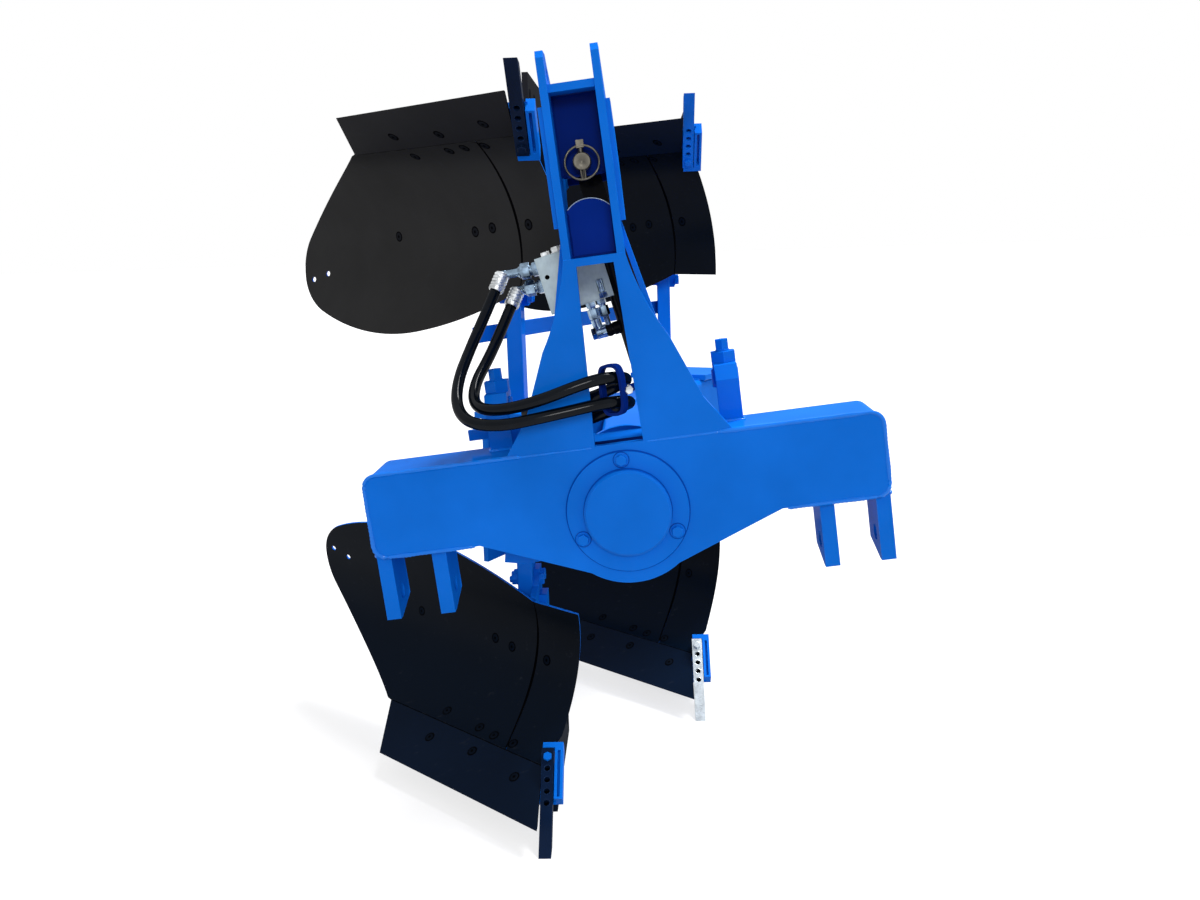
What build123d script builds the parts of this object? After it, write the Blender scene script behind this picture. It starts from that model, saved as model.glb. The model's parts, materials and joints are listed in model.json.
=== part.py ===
from build123d import *
import math
import os

# Two-furrow hydraulic reversible mouldboard plough, fully mounted.
# While modelling: X forward (direction of travel), Y to the driver's left, Z up, Z = 0 on the floor,
# Y = 0 through the turnover axis, X = 0 on the front face of the headstock. The headstock rolls on that
# axis: on it, u runs along the crossbeam and v up the tower. At the end everything is shifted so that
# the origin is at the bottom centre of the whole plough.

# ---------------------------------------------------------------- driving dimensions (mm, degrees)
AXIS_Z = 780.0            # height of the turnover axis above the floor
ROLL = 5.9                # roll of the headstock against the frame, from the tilt stops
BODY_PITCH = 683.0        # spacing of the two furrows along X
FURROW = 349.5            # cutting width of one furrow
TIP_1 = (-258.6, -198.2)  # X and Y of the front bar point
GAP = 5.0                 # least gap between moving pieces
FIT = 0.3                 # running gap of pins and shafts, all round

# crossbeam and front plate
BEAM_HALF = 442.0         # half the crossbeam's width
BEAM_TOP = 115.0          # above the axis
BEAM_LOW = 29.0           # below the axis
BEAM_DEPTH = 143.0        # over front plate, shell and back plate
PLATE = 16.0              # front plate
SHELL = 8.0               # wrapped shell of the crossbeam
BACK = 10.0               # back plate
CORNER = 22.0             # corner radius of the crossbeam's ends
BELLY_R = 126.0           # rounded belly of the front plate below the bearing
BELLY_HALF = 262.0        # where the belly meets the crossbeam's lower edge

# tower
STRAP_V = 430.0           # top of the slot's strap
STRAP = 13.0              # thickness of both straps
UPPER_STRAP_V = 709.0
EAR_FOOT = 400.0          # v of the ears' lower ends, behind the front plate
TOWER_FOOT = 172.0        # half width of the tower at the crossbeam
SLOT_LOW = (41.0, 117.0)  # half width and height of the slot's lower end
SLOT_TOP = (31.0, 417.0)
EAR_TOP = 763.0
EAR_PITCH = 89.0          # between the ears' middles
EAR = 13.0                # thickness of an ear
EAR_DEPTH = 78.0          # of an ear at its top
TOP_LINK = (-48.0, 728.0)  # X and v of the top link hole
TOP_LINK_HOLE = 25.7
DOUBLER = 8.0             # plates outside the ears
RECESS = (-72.0, -60.0)   # X range of the recessed plates between the ears
REAR_PLATE = 12.0
STAY = (10.0, 50.0)       # flat bar of the tower's stays
STAY_FOOT = 134.0         # u of a stay on the crossbeam
STAY_TOP = (480.0, 440.0) # v where its outer and inner edge meet the ear

# lower links
LUG = 25.0                # thickness of one lug
LUG_U = (336.0, 432.0)    # middles of the inner and outer lug
LUG_V = -146.0            # lower edge of the lugs at their front
LUG_FLAT = 15.0           # how far back it stays level
LUG_RISE = 19.0           # how far it rises to the rear
LUG_HOLE = 28.7
LUG_HOLE_AT = (-62.0, -106.0)   # X and v of the lower link holes
LUG_X = (-20.0, 98.0)     # front edge and depth of a lug

# bearing
SHAFT = 90.0
BEARING_WALL = 22.0
FLANGE = (207.0, 6.0)     # flange of the bearing cover
CAP = (148.0, 18.0, 4.0)  # diameter, height and chamfer of its cap

# cylinder and crank
CYL_X = -195.0            # X of the cylinder's middle plane
PIN_V = 585.0             # v of the tower pin
PIN = 30.0                # diameter of both cylinder pins
PIN_OUT = (22.0, 8.0)     # how far the tower pin stands out in front and behind
PIN_ROOM = 13.0           # cylinder's eye to the rear plate
CRANK = 105.0             # radius of the crank pin
CRANK_END = (36.0, 32.0)  # radius of the cheeks' round ends, and of the boss on the front one
ARM_ROOT = ((20.0, 90.0), (-100.0, 20.0))   # where the stop arms leave the hub, from the axis
EYE = 40.0                # width of both cylinder eyes
EYE_R = 26.0
EYE_GAP = 2.0             # eye to cheek, each side
BARREL = 60.0
BORE = 50.0
END_WALL = 15.0           # of the barrel's closed end
GLAND = 40.0              # of its open end
ROD = 32.0
PISTON = (30.0, 5.0)      # its length, and its distance from the closed end with the rod in
ROD_SHOWS = 26.0          # between barrel and eye, with the rod in
BARREL_FROM = 70.0        # distance of the barrel's closed end from the tower pin
VALVE_FROM = 137.0        # far side of the valve block from the cylinder's axis
VALVE_AT = (127.0, 230.0) # its ends from the tower pin
VALVE_SHOULDER = (84.0, 165.0)  # where its slanted upper side starts and ends
VALVE_DEEP = 50.0
VALVE_SEAT = 10.0         # how far the barrel sinks into it
CHEEK = 12.0              # front cheek of the crank
CHEEK_REAR = 16.0
HUB_R = 112.0             # hub plates' radius
BRIDGE = (64.0, 112.0, 130.0)   # nearest and furthest radius and width of the crank's bridge

# tilt stops
STOP_U = (-210.0, 198.0)  # the right and the left bolt
STOP_TIP = 150.0          # v of a stop bolt's tip
STOP_BOLT = 24.0
STOP_HEAD = (254.0, 12.7, 18.0) # v of the head's top, half its width across corners, height
STOP_NUT = (24.0, 20.0)   # half the nut's width across corners, height
STOP_FLANGE = 213.0       # v of a bracket's upper face
STOP_SLEEVE = (48.0, 30.0)      # diameter and length of the threaded sleeve under it
STOP_BEND = (-112.0, 25.0)      # X and height of the bend between strap and flange
STRAP_X = -98.0           # front face of the strap
STRAP_STEEL = (12.0, 40.0)      # thickness and width of the brackets' strap steel
STOP_ARM = (20.0, 45.0)   # half width and end depth of the arms that meet the stop bolts
STOP_BAR = (64.0, 19.0)   # how far the right arm's end bar reaches out, and its depth
STOP_PLAY = 0.5           # arm to bolt at the end of the turn

# hoses: centre lines as (u, v, X) from the ferrules at the valve to the parked couplers
HOSE = 20.0
HOSE_SIDES = 6
PORTS = (145.0, 177.0)    # distance of the valve's two ports from the tower pin
HOSE_UPPER = [
    (-190, 392, -186), (-217, 345, -165), (-243, 298, -128), (-265, 250, -72), (-266, 210, -18),
    (-240, 186, 28), (-185, 179, 50), (-125, 184, 52), (-65, 189, 46), (-18, 193, 38),
    (16, 191, 24), (30, 184, -2), (16, 176, -28), (-15, 166, -40), (-52, 157, -44), (-88, 150, -46),
]
HOSE_LOWER = [
    (-166, 361, -186), (-190, 318, -165), (-213, 277, -128), (-236, 242, -78), (-238, 214, -30),
    (-214, 203, 14), (-165, 204, 40), (-110, 214, 50), (-62, 226, 48), (-20, 234, 42),
    (14, 232, 28), (29, 224, 2), (17, 213, -26), (-12, 202, -40), (-50, 192, -44), (-88, 186, -46),
]
FERRULE = 30.0
ADAPTOR = 24.0            # across corners of the adaptors on the valve block
ADAPTOR_IN = 15.0         # how deep they are screwed in
COUPLER = (26.0, 60.0)
HOSE_RING = (3.0, 212.0, 28.5)   # u, v and X of the ring that carries both hoses
RING = (77.0, 36.0, 3.0, 12.0)   # its inner height and width, wall and depth
RING_CORNER = 11.0        # bevel of its corners
RING_TAB = (200.0, 209.0, -62.0) # v of its tab's edges, and u of the tab's end
RACK = (-118.0, 6.0, 205.0)      # u, thickness and upper v of the plate that holds the couplers

# frame
TUBE = 120.0
TUBE_WALL = 8.0
TUBE_CORNER = 14.0
BEAM_OVER = 75.0          # how far the main beam runs past both legs
LEG = (90.0, 35.0)        # leg bar along X and along Y
LEG_AT = (-490.0, -57.5)  # middle of a leg from its bar point
LEG_LOW = 140.0           # lower end of a leg above the floor
LEG_CORNER = 4.0
TIE_V = 250.0             # tie bars above and below the axis
TIE = (12.0, 35.0)
TIE_NOTCH = 5.0           # how deep a leg's corner sits in a tie
TIE_OVER = (110.0, 70.0)  # how far a tie runs past the front and the rear leg
CLAMP = (170.0, 20.0, 14.0)     # plates that clamp the legs: length, overhang outside a leg, thickness
BRACE = 80.0              # square tube from the hub beam to the main beam's front end
BRACE_WALL = 6.0
BRACE_FROM = -330.0       # X where its middle line leaves the turnover axis
BRACE_TO = 50.0           # where it meets the main beam, from that beam's front end

# plough body, measured from its bar point, lower body
WORK = math.radians(46.0)  # angle of the share's edge to the direction of travel
SHARE_FOOT = (0.0, 55.0)   # distance behind the cutting line, and height, of the share's edge
SHARE_HEAD = (115.0, 125.0)
SHARE = 10.0
SHARE_BEVEL = 14.0
SEAM = 3.0                 # open joint between the share and the boards above it
BOARD = 8.0
BOARD_C = (28.0, 332.0)    # centre of the mouldboard's curve
BOARD_R = 225.0
BOARD_TOP = (191.0, 550.0)
SHARE_END = 415.0          # how far the share reaches across the furrow
BAR = (26.0, 22.0, 236.0)  # width, thickness, length of the bar point
BAR_Y = 5.0                # its middle
BAR_ANGLE = 43.5
BAR_GAP = 2.0              # between the bar point and the share beside it
BAR_HOLES = (5, 13.0, 25.0, 20.0)   # count, diameter, pitch, first from the upper end
HOLDER = (20.0, 38.0, 36.0)         # inner and outer face of the bar holder's cheek, and its depth
GROOVE = (26.0, 32.0, 16.0)         # inner and outer face of the groove along the cheek, and its depth
WING_HOLES = ((-635.0, 413.0), (-586.0, 398.0))
WING_HOLE = 14.0
LANDSIDE = 12.0
LANDSIDE_Y = 6.0           # its inner face
LANDSIDE_FROM = -202.0     # X of its front end
HEEL = -640.0              # X of the landside's rear end
FROG = 14.0
FROG_Y = -40.0             # the web's face on the leg
CHORDS = 5                 # straight cuts that follow the board's curve on the frog's hidden edges
SETBACK = 5.0              # of the web's edge from the board's back
PAD = (-26.0, 275.0, 68.0, 280.0)   # Y and Z of the pad's middle, its width and height
SEAT = (62.0, 130.0, -34.0, 52.0)   # the share's seat: from and to up the share, Y of its middle, width
FOOT = (76.0, -190.0, -380.0)       # Z of the landside's foot plate, and its ends in X
STIFFENER = (-470.0, 398.0, 60.0, 44.0, 18.0)   # X and Z of its middle, length, height, thickness
HOLDER_BLOCK = (120.0, 190.0)       # the holder's block, cheek, foot and groove: from and to up the bar
HOLDER_CHEEK = (125.0, 245.0)
HOLDER_FOOT = (238.0, 250.0)
HOLDER_GROOVE = (130.0, 232.0)
HOLDER_SET = 4.0                    # how far the block stands back from the cheek's inner face

# ---------------------------------------------------------------- derived values
TURN = 180.0 + 2.0 * ROLL
crank_u = CRANK * math.cos(math.radians(ROLL))
crank_v = -CRANK * math.sin(math.radians(ROLL))
SWING = math.degrees(math.atan2(crank_u, PIN_V - crank_v))      # lean of the cylinder at rest
LONG = math.hypot(crank_u, PIN_V - crank_v)                     # pin to pin, rod out
STROKE = LONG - (PIN_V - CRANK)
CHEEK_X = -BEAM_DEPTH - GAP                                     # front face of the front cheek
EYE_X = (CYL_X - EYE / 2, CYL_X + EYE / 2)
REAR_X = EYE_X[0] - EYE_GAP                                     # front face of the rear cheek
HUB_X = REAR_X - CHEEK_REAR                                     # rear face of the rear cheek
BARREL_TO = LONG - STROKE - EYE_R - ROD_SHOWS                   # barrel's open end from the tower pin
PISTON_AT = BARREL_FROM + END_WALL + STROKE + PISTON[1]         # piston from the tower pin, rod out
TIPS = [TIP_1, (TIP_1[0] - BODY_PITCH, TIP_1[1] + FURROW)]
EAR_REAR = CYL_X - EYE / 2 - PIN_ROOM - REAR_PLATE                  # X of the ears' rear edges

os.makedirs("parts", exist_ok=True)
parts = {}


def head(x=0.0):
    """Plane square to X: its x is u, its y is v."""
    roll = math.radians(ROLL)
    return Plane(origin=(x, 0, AXIS_Z), x_dir=(0, math.cos(roll), math.sin(roll)), z_dir=(1, 0, 0))


def flank(u):
    """Plane square to the crossbeam: its x is X, its y is v, its normal points to -u."""
    base = head()
    return Plane(origin=base.from_local_coords((u, 0, 0)), x_dir=(1, 0, 0), z_dir=-base.x_dir)


def level(v):
    """Plane square to the tower: its x is X, its y is u, its normal points up the tower."""
    base = head()
    return Plane(origin=base.from_local_coords((0, v, 0)), x_dir=(1, 0, 0), z_dir=base.y_dir)


def leaning(x=0.0):
    """Plane square to X at the tower pin, with its -y along the leaning cylinder."""
    base, lean = head(x), math.radians(SWING)
    across = base.x_dir * math.cos(lean) + base.y_dir * math.sin(lean)
    return Plane(origin=base.from_local_coords((0, PIN_V, 0)), x_dir=across, z_dir=(1, 0, 0))


def on_cylinder(distance):
    """Plane square to the cylinder's axis, its normal down the cylinder."""
    base = leaning(CYL_X)
    return Plane(origin=base.from_local_coords((0, -distance, 0)), x_dir=(1, 0, 0), z_dir=-base.y_dir)


def frame_face(x):
    """Plane square to X on the turnover axis, level as the frame stands: its x is Y, its y is Z."""
    return Plane(origin=(x, 0, AXIS_Z), x_dir=(0, 1, 0), z_dir=(1, 0, 0))


# ================================================================ headstock
with BuildPart() as front_plate:
    with BuildSketch(head(-PLATE)):
        with Locations((0, (BEAM_TOP - BEAM_LOW) / 2)):
            RectangleRounded(2 * BEAM_HALF, BEAM_TOP + BEAM_LOW, CORNER)
        with BuildLine():
            foot, shoulder = (TOWER_FOOT + 22, BEAM_TOP - 1), (TOWER_FOOT - 22, BEAM_TOP + 62)
            waist, middle, neck = (106, 285), (72, 355), (EAR_PITCH / 2 + EAR / 2, STRAP_V)
            for side in (-1, 1):
                Polyline(*[(side * u, v) for u, v in (foot, shoulder, waist)])
                ThreePointArc(*[(side * u, v) for u, v in (waist, middle, neck)])
            for u, v in (foot, neck):
                Line((-u, v), (u, v))
        make_face()
        with BuildLine():
            belly_u, belly_v = 0.6 * BELLY_R, -0.8 * BELLY_R
            belly = ThreePointArc((-belly_u, belly_v), (0, -BELLY_R), (belly_u, belly_v))
            Polyline(belly @ 1, (BELLY_HALF, 1 - BEAM_LOW), (-BELLY_HALF, 1 - BEAM_LOW), belly @ 0)
        make_face()
        Circle(SHAFT / 2 + BEARING_WALL, mode=Mode.SUBTRACT)
        with BuildLine():
            Polyline(
                (-SLOT_LOW[0], SLOT_LOW[1]),
                (-SLOT_TOP[0], SLOT_TOP[1]),
                (SLOT_TOP[0], SLOT_TOP[1]),
                (SLOT_LOW[0], SLOT_LOW[1]),
                close=True,
            )
        make_face(mode=Mode.SUBTRACT)
    extrude(amount=PLATE)
parts["headstock_front_plate"] = front_plate

with BuildPart() as crossbeam:
    with BuildSketch(head(BACK - BEAM_DEPTH)):
        with Locations((0, (BEAM_TOP - BEAM_LOW) / 2)):
            RectangleRounded(2 * BEAM_HALF, BEAM_TOP + BEAM_LOW, CORNER)
            RectangleRounded(
                2 * (BEAM_HALF - SHELL), BEAM_TOP + BEAM_LOW - 2 * SHELL, CORNER - SHELL, mode=Mode.SUBTRACT
            )
        Circle(SHAFT / 2 + BEARING_WALL, mode=Mode.SUBTRACT)
    extrude(amount=BEAM_DEPTH - BACK - PLATE)
parts["crossbeam_shell"] = crossbeam

with BuildPart() as back_plate:
    with BuildSketch(head(-BEAM_DEPTH)):
        with Locations((0, (BEAM_TOP - BEAM_LOW) / 2)):
            RectangleRounded(2 * BEAM_HALF, BEAM_TOP + BEAM_LOW, CORNER)
        Circle(SHAFT / 2 + BEARING_WALL + 30)
        Circle(SHAFT / 2 + BEARING_WALL, mode=Mode.SUBTRACT)
    extrude(amount=BACK)
parts["crossbeam_back_plate"] = back_plate

with BuildPart() as bearing_tube:
    with BuildSketch(head(-BEAM_DEPTH)):
        Circle(SHAFT / 2 + BEARING_WALL)
        Circle(SHAFT / 2 + FIT, mode=Mode.SUBTRACT)
    extrude(amount=BEAM_DEPTH)
parts["bearing_tube"] = bearing_tube

with BuildPart() as bearing_cover:
    with BuildSketch(head()):
        Circle(FLANGE[0] / 2)
    extrude(amount=FLANGE[1])
    with BuildSketch(head(FLANGE[1])):
        Circle(CAP[0] / 2)
    extrude(amount=CAP[1])
    chamfer(bearing_cover.faces().sort_by(Axis.X)[-1].edges(), CAP[2])
parts["bearing_cover"] = bearing_cover

for side, word in ((-1, "right"), (1, "left")):
    with BuildPart() as ear:
        with BuildSketch(flank(side * EAR_PITCH / 2)):
            with BuildLine():
                Polyline(
                    (-PLATE, EAR_FOOT),
                    (-PLATE, STRAP_V),
                    (0, STRAP_V),
                    (0, EAR_TOP - 12),
                    (-12, EAR_TOP),
                    (20 - EAR_DEPTH, EAR_TOP),
                    (-EAR_DEPTH, EAR_TOP - 20),
                    (EAR_REAR, PIN_V + 55),
                    (EAR_REAR, PIN_V - 30),
                    (EAR_REAR + 90, PIN_V - 40),
                    (-100, STRAP_V + 70),
                    (-100, EAR_FOOT),
                    close=True,
                )
            make_face()
            with Locations(TOP_LINK):
                Circle(TOP_LINK_HOLE / 2, mode=Mode.SUBTRACT)
        extrude(amount=EAR / 2, both=True)
        with BuildSketch(flank(side * (EAR_PITCH + EAR + DOUBLER) / 2)):
            with BuildLine():
                Polyline((-12, 482), (-12, 676), (-70, 676), (-150, 620), (-150, 560), (-70, 482), close=True)
            make_face()
        extrude(amount=DOUBLER / 2, both=True)
    parts[f"tower_ear_{word}"] = ear

with BuildPart() as straps:
    for top, front in ((STRAP_V, -PLATE), (UPPER_STRAP_V, -6.0)):
        with BuildSketch(level(top)):
            with Locations(((front + RECESS[0]) / 2, 0)):
                Rectangle(front - RECESS[0], EAR_PITCH - EAR)
        extrude(amount=-STRAP)
parts["tower_straps"] = straps

with BuildPart() as cross_plates:
    with BuildSketch(head(RECESS[0])):
        with Locations((0, (UPPER_STRAP_V - STRAP + PIN_V - 22) / 2)):
            Rectangle(EAR_PITCH - EAR, UPPER_STRAP_V - STRAP - PIN_V + 22)
        with BuildLine():
            half = (EAR_PITCH - EAR) / 2
            crown = ThreePointArc((-half, 508), (0, 526), (half, 508))
            Polyline(crown @ 1, (half, STRAP_V), (-half, STRAP_V), crown @ 0)
        make_face()
        with Locations((0, PIN_V)):
            Circle(PIN / 2, mode=Mode.SUBTRACT)
    extrude(amount=RECESS[1] - RECESS[0])
    with BuildSketch(head(EAR_REAR)):
        with Locations((0, PIN_V + 10)):
            Rectangle(EAR_PITCH - EAR, 76)
        with Locations((0, PIN_V)):
            Circle(PIN / 2, mode=Mode.SUBTRACT)
    extrude(amount=REAR_PLATE)
parts["tower_cross_plates"] = cross_plates

with BuildPart() as stays:
    for side in (-1, 1):
        with BuildSketch(head(RECESS[0] - STAY[1])):
            with BuildLine():
                Polyline(
                    (side * (EAR_PITCH + EAR) / 2, STAY_TOP[0]),
                    (side * STAY_FOOT, BEAM_TOP),
                    (side * (STAY_FOOT - STAY[0]), BEAM_TOP),
                    (side * (EAR_PITCH + EAR) / 2, STAY_TOP[1]),
                    close=True,
                )
            make_face()
        extrude(amount=STAY[1])
parts["tower_stays"] = stays

with BuildPart() as lugs:
    for side in (-1, 1):
        for u in LUG_U:
            with BuildSketch(flank(side * u)):
                with BuildLine():
                    Polyline(
                        (LUG_X[0], -BEAM_LOW),
                        (LUG_X[0], LUG_V),
                        (LUG_X[0] - LUG_FLAT, LUG_V),
                        (LUG_X[0] - LUG_X[1], LUG_V + LUG_RISE),
                        (LUG_X[0] - LUG_X[1], -BEAM_LOW),
                        close=True,
                    )
                make_face()
                with Locations(LUG_HOLE_AT):
                    Circle(LUG_HOLE / 2, mode=Mode.SUBTRACT)
            extrude(amount=LUG / 2, both=True)
parts["lower_link_lugs"] = lugs

bolt_x = CHEEK_X - CHEEK / 2
flange_end = bolt_x - STOP_SLEEVE[0] / 2
under_flange = STOP_FLANGE - STRAP_STEEL[0]
with BuildPart() as brackets:
    for u in STOP_U:
        with BuildSketch(flank(u)):
            with BuildLine():
                Polyline(
                    (STRAP_X, BEAM_TOP),
                    (STRAP_X, STOP_FLANGE - STOP_BEND[1]),
                    (STOP_BEND[0], STOP_FLANGE),
                    (flange_end, STOP_FLANGE),
                    (flange_end, under_flange),
                    (STOP_BEND[0] - STRAP_STEEL[0] / 2, under_flange),
                    (STRAP_X - STRAP_STEEL[0], STOP_FLANGE - STOP_BEND[1] - STRAP_STEEL[0] / 4),
                    (STRAP_X - STRAP_STEEL[0], BEAM_TOP),
                    close=True,
                )
            make_face()
        extrude(amount=STRAP_STEEL[1] / 2, both=True)
    with BuildSketch(level(under_flange)):
        with Locations([(bolt_x, u) for u in STOP_U]):
            Circle(STOP_SLEEVE[0] / 2)
    extrude(amount=-STOP_SLEEVE[1])
    with BuildSketch(level(STOP_FLANGE)):
        with Locations([(bolt_x, u) for u in STOP_U]):
            Circle(STOP_BOLT / 2)
    extrude(amount=-STRAP_STEEL[0] - STOP_SLEEVE[1], mode=Mode.SUBTRACT)
parts["stop_brackets"] = brackets

head_top, head_half, head_tall = STOP_HEAD
shank_top = head_top - head_tall
with BuildPart() as stop_bolts:
    for top, half, tall, sides in (
        (head_top, head_half, head_tall, 6),
        (shank_top, STOP_BOLT / 2, shank_top - STOP_TIP, 0),
        (STOP_FLANGE + STOP_NUT[1], STOP_NUT[0], STOP_NUT[1], 6),
    ):
        with BuildSketch(level(top)):
            with Locations([(bolt_x, u) for u in STOP_U]):
                if sides:
                    RegularPolygon(half, sides)
                else:
                    Circle(half)
        extrude(amount=-tall)
parts["stop_bolts"] = stop_bolts

with BuildPart() as tower_pin:
    with BuildSketch(head(EAR_REAR - PIN_OUT[1])):
        with Locations((0, PIN_V)):
            Circle(PIN / 2)
    extrude(amount=RECESS[1] - EAR_REAR + sum(PIN_OUT))
parts["cylinder_pin"] = tower_pin

# ================================================================ cylinder
with BuildPart() as barrel:
    with BuildSketch(leaning(EYE_X[0])):
        Circle(EYE_R)
        with Locations((0, -BARREL_FROM / 2)):
            Rectangle(40, BARREL_FROM)
        Circle(PIN / 2 + FIT, mode=Mode.SUBTRACT)
    extrude(amount=EYE)
    with BuildSketch(on_cylinder(BARREL_FROM)):
        Circle(BARREL / 2)
    extrude(amount=BARREL_TO - BARREL_FROM)
    with BuildSketch(on_cylinder(BARREL_FROM + END_WALL)):
        Circle(BORE / 2)
    extrude(amount=BARREL_TO - BARREL_FROM - END_WALL - GLAND, mode=Mode.SUBTRACT)
    with BuildSketch(on_cylinder(BARREL_TO - GLAND - 1)):
        Circle(ROD / 2 + FIT)
    extrude(amount=GLAND + 2, mode=Mode.SUBTRACT)
parts["cylinder_barrel"] = barrel

with BuildPart() as valve:
    with BuildSketch(leaning(CYL_X - VALVE_DEEP / 2)):
        with BuildLine():
            Polyline(
                (-VALVE_FROM, -VALVE_AT[0]),
                (-VALVE_SHOULDER[0], -VALVE_AT[0]),
                (VALVE_SEAT - BARREL / 2, -VALVE_SHOULDER[1]),
                (VALVE_SEAT - BARREL / 2, -VALVE_AT[1]),
                (-VALVE_FROM, -VALVE_AT[1]),
                close=True,
            )
        make_face()
    extrude(amount=VALVE_DEEP)
    with BuildSketch(on_cylinder(VALVE_AT[0])):
        Circle(BARREL / 2)
    extrude(amount=VALVE_AT[1] - VALVE_AT[0], mode=Mode.SUBTRACT)
parts["valve_block"] = valve

with BuildPart() as rod:
    with BuildSketch(on_cylinder(PISTON_AT)):
        Circle(BORE / 2 - FIT)
    extrude(amount=PISTON[0])
    with BuildSketch(on_cylinder(PISTON_AT)):
        Circle(ROD / 2)
    extrude(amount=LONG - PISTON_AT)
    with BuildSketch(leaning(EYE_X[0])):
        with Locations((0, -LONG)):
            Circle(EYE_R)
    extrude(amount=EYE)
    with BuildSketch(leaning(EYE_X[0])):
        with Locations((0, -LONG)):
            Circle(PIN / 2)
    extrude(amount=EYE, mode=Mode.SUBTRACT)
parts["cylinder_rod"] = rod

with BuildPart() as pin_middle:
    with BuildSketch(leaning(EYE_X[0])):
        with Locations((0, -LONG)):
            Circle(PIN / 2)
    extrude(amount=EYE)
parts["crank_pin_middle"] = pin_middle

# fittings: adaptors on the valve block and the ferrules of the two hoses
with BuildPart() as fittings:
    for down, route in zip(PORTS, (HOSE_UPPER, HOSE_LOWER)):
        port = leaning(CYL_X).from_local_coords((-VALVE_FROM, -down, 0))
        outer, beyond = (head(x).from_local_coords((u, v, 0)) for u, v, x in route[:2])
        inner = outer - (beyond - outer).normalized() * FERRULE
        start = port - (inner - port).normalized() * ADAPTOR_IN
        with BuildSketch(Plane(origin=start, z_dir=inner - port)):
            RegularPolygon(ADAPTOR / 2, 6)
        extrude(amount=(inner - start).length + ADAPTOR / 3)
        with BuildSketch(Plane(origin=inner, z_dir=outer - inner)):
            RegularPolygon(HOSE / 2, HOSE_SIDES)
        extrude(amount=(outer - inner).length)
    add(valve.part, mode=Mode.SUBTRACT)
parts["valve_fittings"] = fittings

hose_ends = []
for name, route in (("hose_upper", HOSE_UPPER), ("hose_lower", HOSE_LOWER)):
    points = [head(x).from_local_coords((u, v, 0)) for u, v, x in route]
    radii = []
    for before, at, after in zip(points, points[1:], points[2:]):
        turn = math.radians((at - before).get_angle(after - at))
        radii.append(0.45 * min((at - before).length, (after - at).length) / math.tan(turn / 2))
    with BuildPart() as hose:
        with BuildLine():
            path = FilletPolyline(*points, radius=radii)
        with BuildSketch(Plane(origin=path @ 0, z_dir=path % 0)) as section:
            RegularPolygon(HOSE / 2, HOSE_SIDES)
        sweep(path=path)
    parts[name] = hose
    hose_ends.append((path @ 1, path % 1))
    print(name, "length", round(path.length), "radii", [round(r) for r in radii])
    print("  volume ratio", round(hose.part.volume / (section.sketch.area * path.length), 4))

with BuildPart() as couplers:
    for end, onward in hose_ends:
        with BuildSketch(Plane(origin=end, z_dir=onward)):
            RegularPolygon(COUPLER[0] / 2, 6)
        extrude(amount=COUPLER[1])
parts["hose_couplers"] = couplers

with BuildPart() as rack:
    with BuildSketch(flank(RACK[0])):
        with BuildLine():
            Polyline((-24, BEAM_TOP), (-24, RACK[2]), (-62, RACK[2]), (-68, BEAM_TOP), close=True)
        make_face()
    extrude(amount=RACK[1] / 2, both=True)
    add(couplers.part, mode=Mode.SUBTRACT)
parts["coupler_rack"] = rack

ring_u, ring_v, ring_x = HOSE_RING
with BuildPart() as ring:
    with BuildSketch(flank(ring_u)):
        with Locations((ring_x, ring_v)):
            outline = Rectangle(RING[1] + 2 * RING[2], RING[0] + 2 * RING[2])
        chamfer(outline.vertices(), RING_CORNER)
        offset(amount=-RING[2], kind=Kind.INTERSECTION, mode=Mode.SUBTRACT)
    extrude(amount=RING[3] / 2, both=True)
    with BuildSketch(head()):
        with Locations(((ring_u - RING[3] / 2 - RING_TAB[2]) / 2, (RING_TAB[0] + RING_TAB[1]) / 2)):
            Rectangle(RING[3] / 2 - ring_u - RING_TAB[2], RING_TAB[1] - RING_TAB[0])
    extrude(amount=ring_x - RING[1] / 2 - RING[2])
parts["hose_ring"] = ring

# ================================================================ frame: shaft and crank
with BuildPart() as shaft:
    with BuildSketch(frame_face(CHEEK_X)):
        Circle(SHAFT / 2)
    extrude(amount=-CHEEK_X - 4)
parts["turnover_shaft"] = shaft

with BuildPart() as front_cheek:
    with BuildSketch(frame_face(CHEEK_X - CHEEK)):
        Circle(HUB_R)
        with Locations((CRANK, 0)):
            Circle(CRANK_END[0])
        make_hull()
        # each arm is drawn where it meets its bolt and turned back from there; at rest it lies on that side
        for stop_u, turned, side, reach_out in (
            (STOP_U[0], 0, 1, STOP_BAR[0]),
            (STOP_U[1], TURN, -1, STOP_ARM[0]),
        ):
            bolt = Vector(stop_u, STOP_TIP).rotate(Axis.Z, ROLL - turned)
            up = Vector(0, 1).rotate(Axis.Z, ROLL - turned)
            out = Vector(math.copysign(1, stop_u), 0).rotate(Axis.Z, ROLL - turned)
            top = bolt - up * STOP_PLAY
            edge, deep, bar = out * STOP_ARM[0], up * STOP_ARM[1], up * STOP_BAR[1]
            root = [Vector(y, side * z) for y, z in ARM_ROOT]
            for points in (
                [top + edge, top - edge, *root, top + edge - deep],
                [top + out * reach_out, top, top - bar, top + out * reach_out - bar],
            ):
                with BuildLine():
                    Polyline(*[(p.X, p.Y) for p in points], close=True)
                make_face()
    extrude(amount=CHEEK)
    with BuildSketch(frame_face(EYE_X[1] + EYE_GAP)):
        with Locations((CRANK, 0)):
            Circle(CRANK_END[1])
    extrude(amount=CHEEK_X - CHEEK - EYE_X[1] - EYE_GAP)
    with BuildSketch(frame_face(EYE_X[1] + EYE_GAP)):
        with Locations((CRANK, 0)):
            Circle(PIN / 2)
    extrude(amount=60, mode=Mode.SUBTRACT)
parts["crank_cheek_front"] = front_cheek

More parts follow.
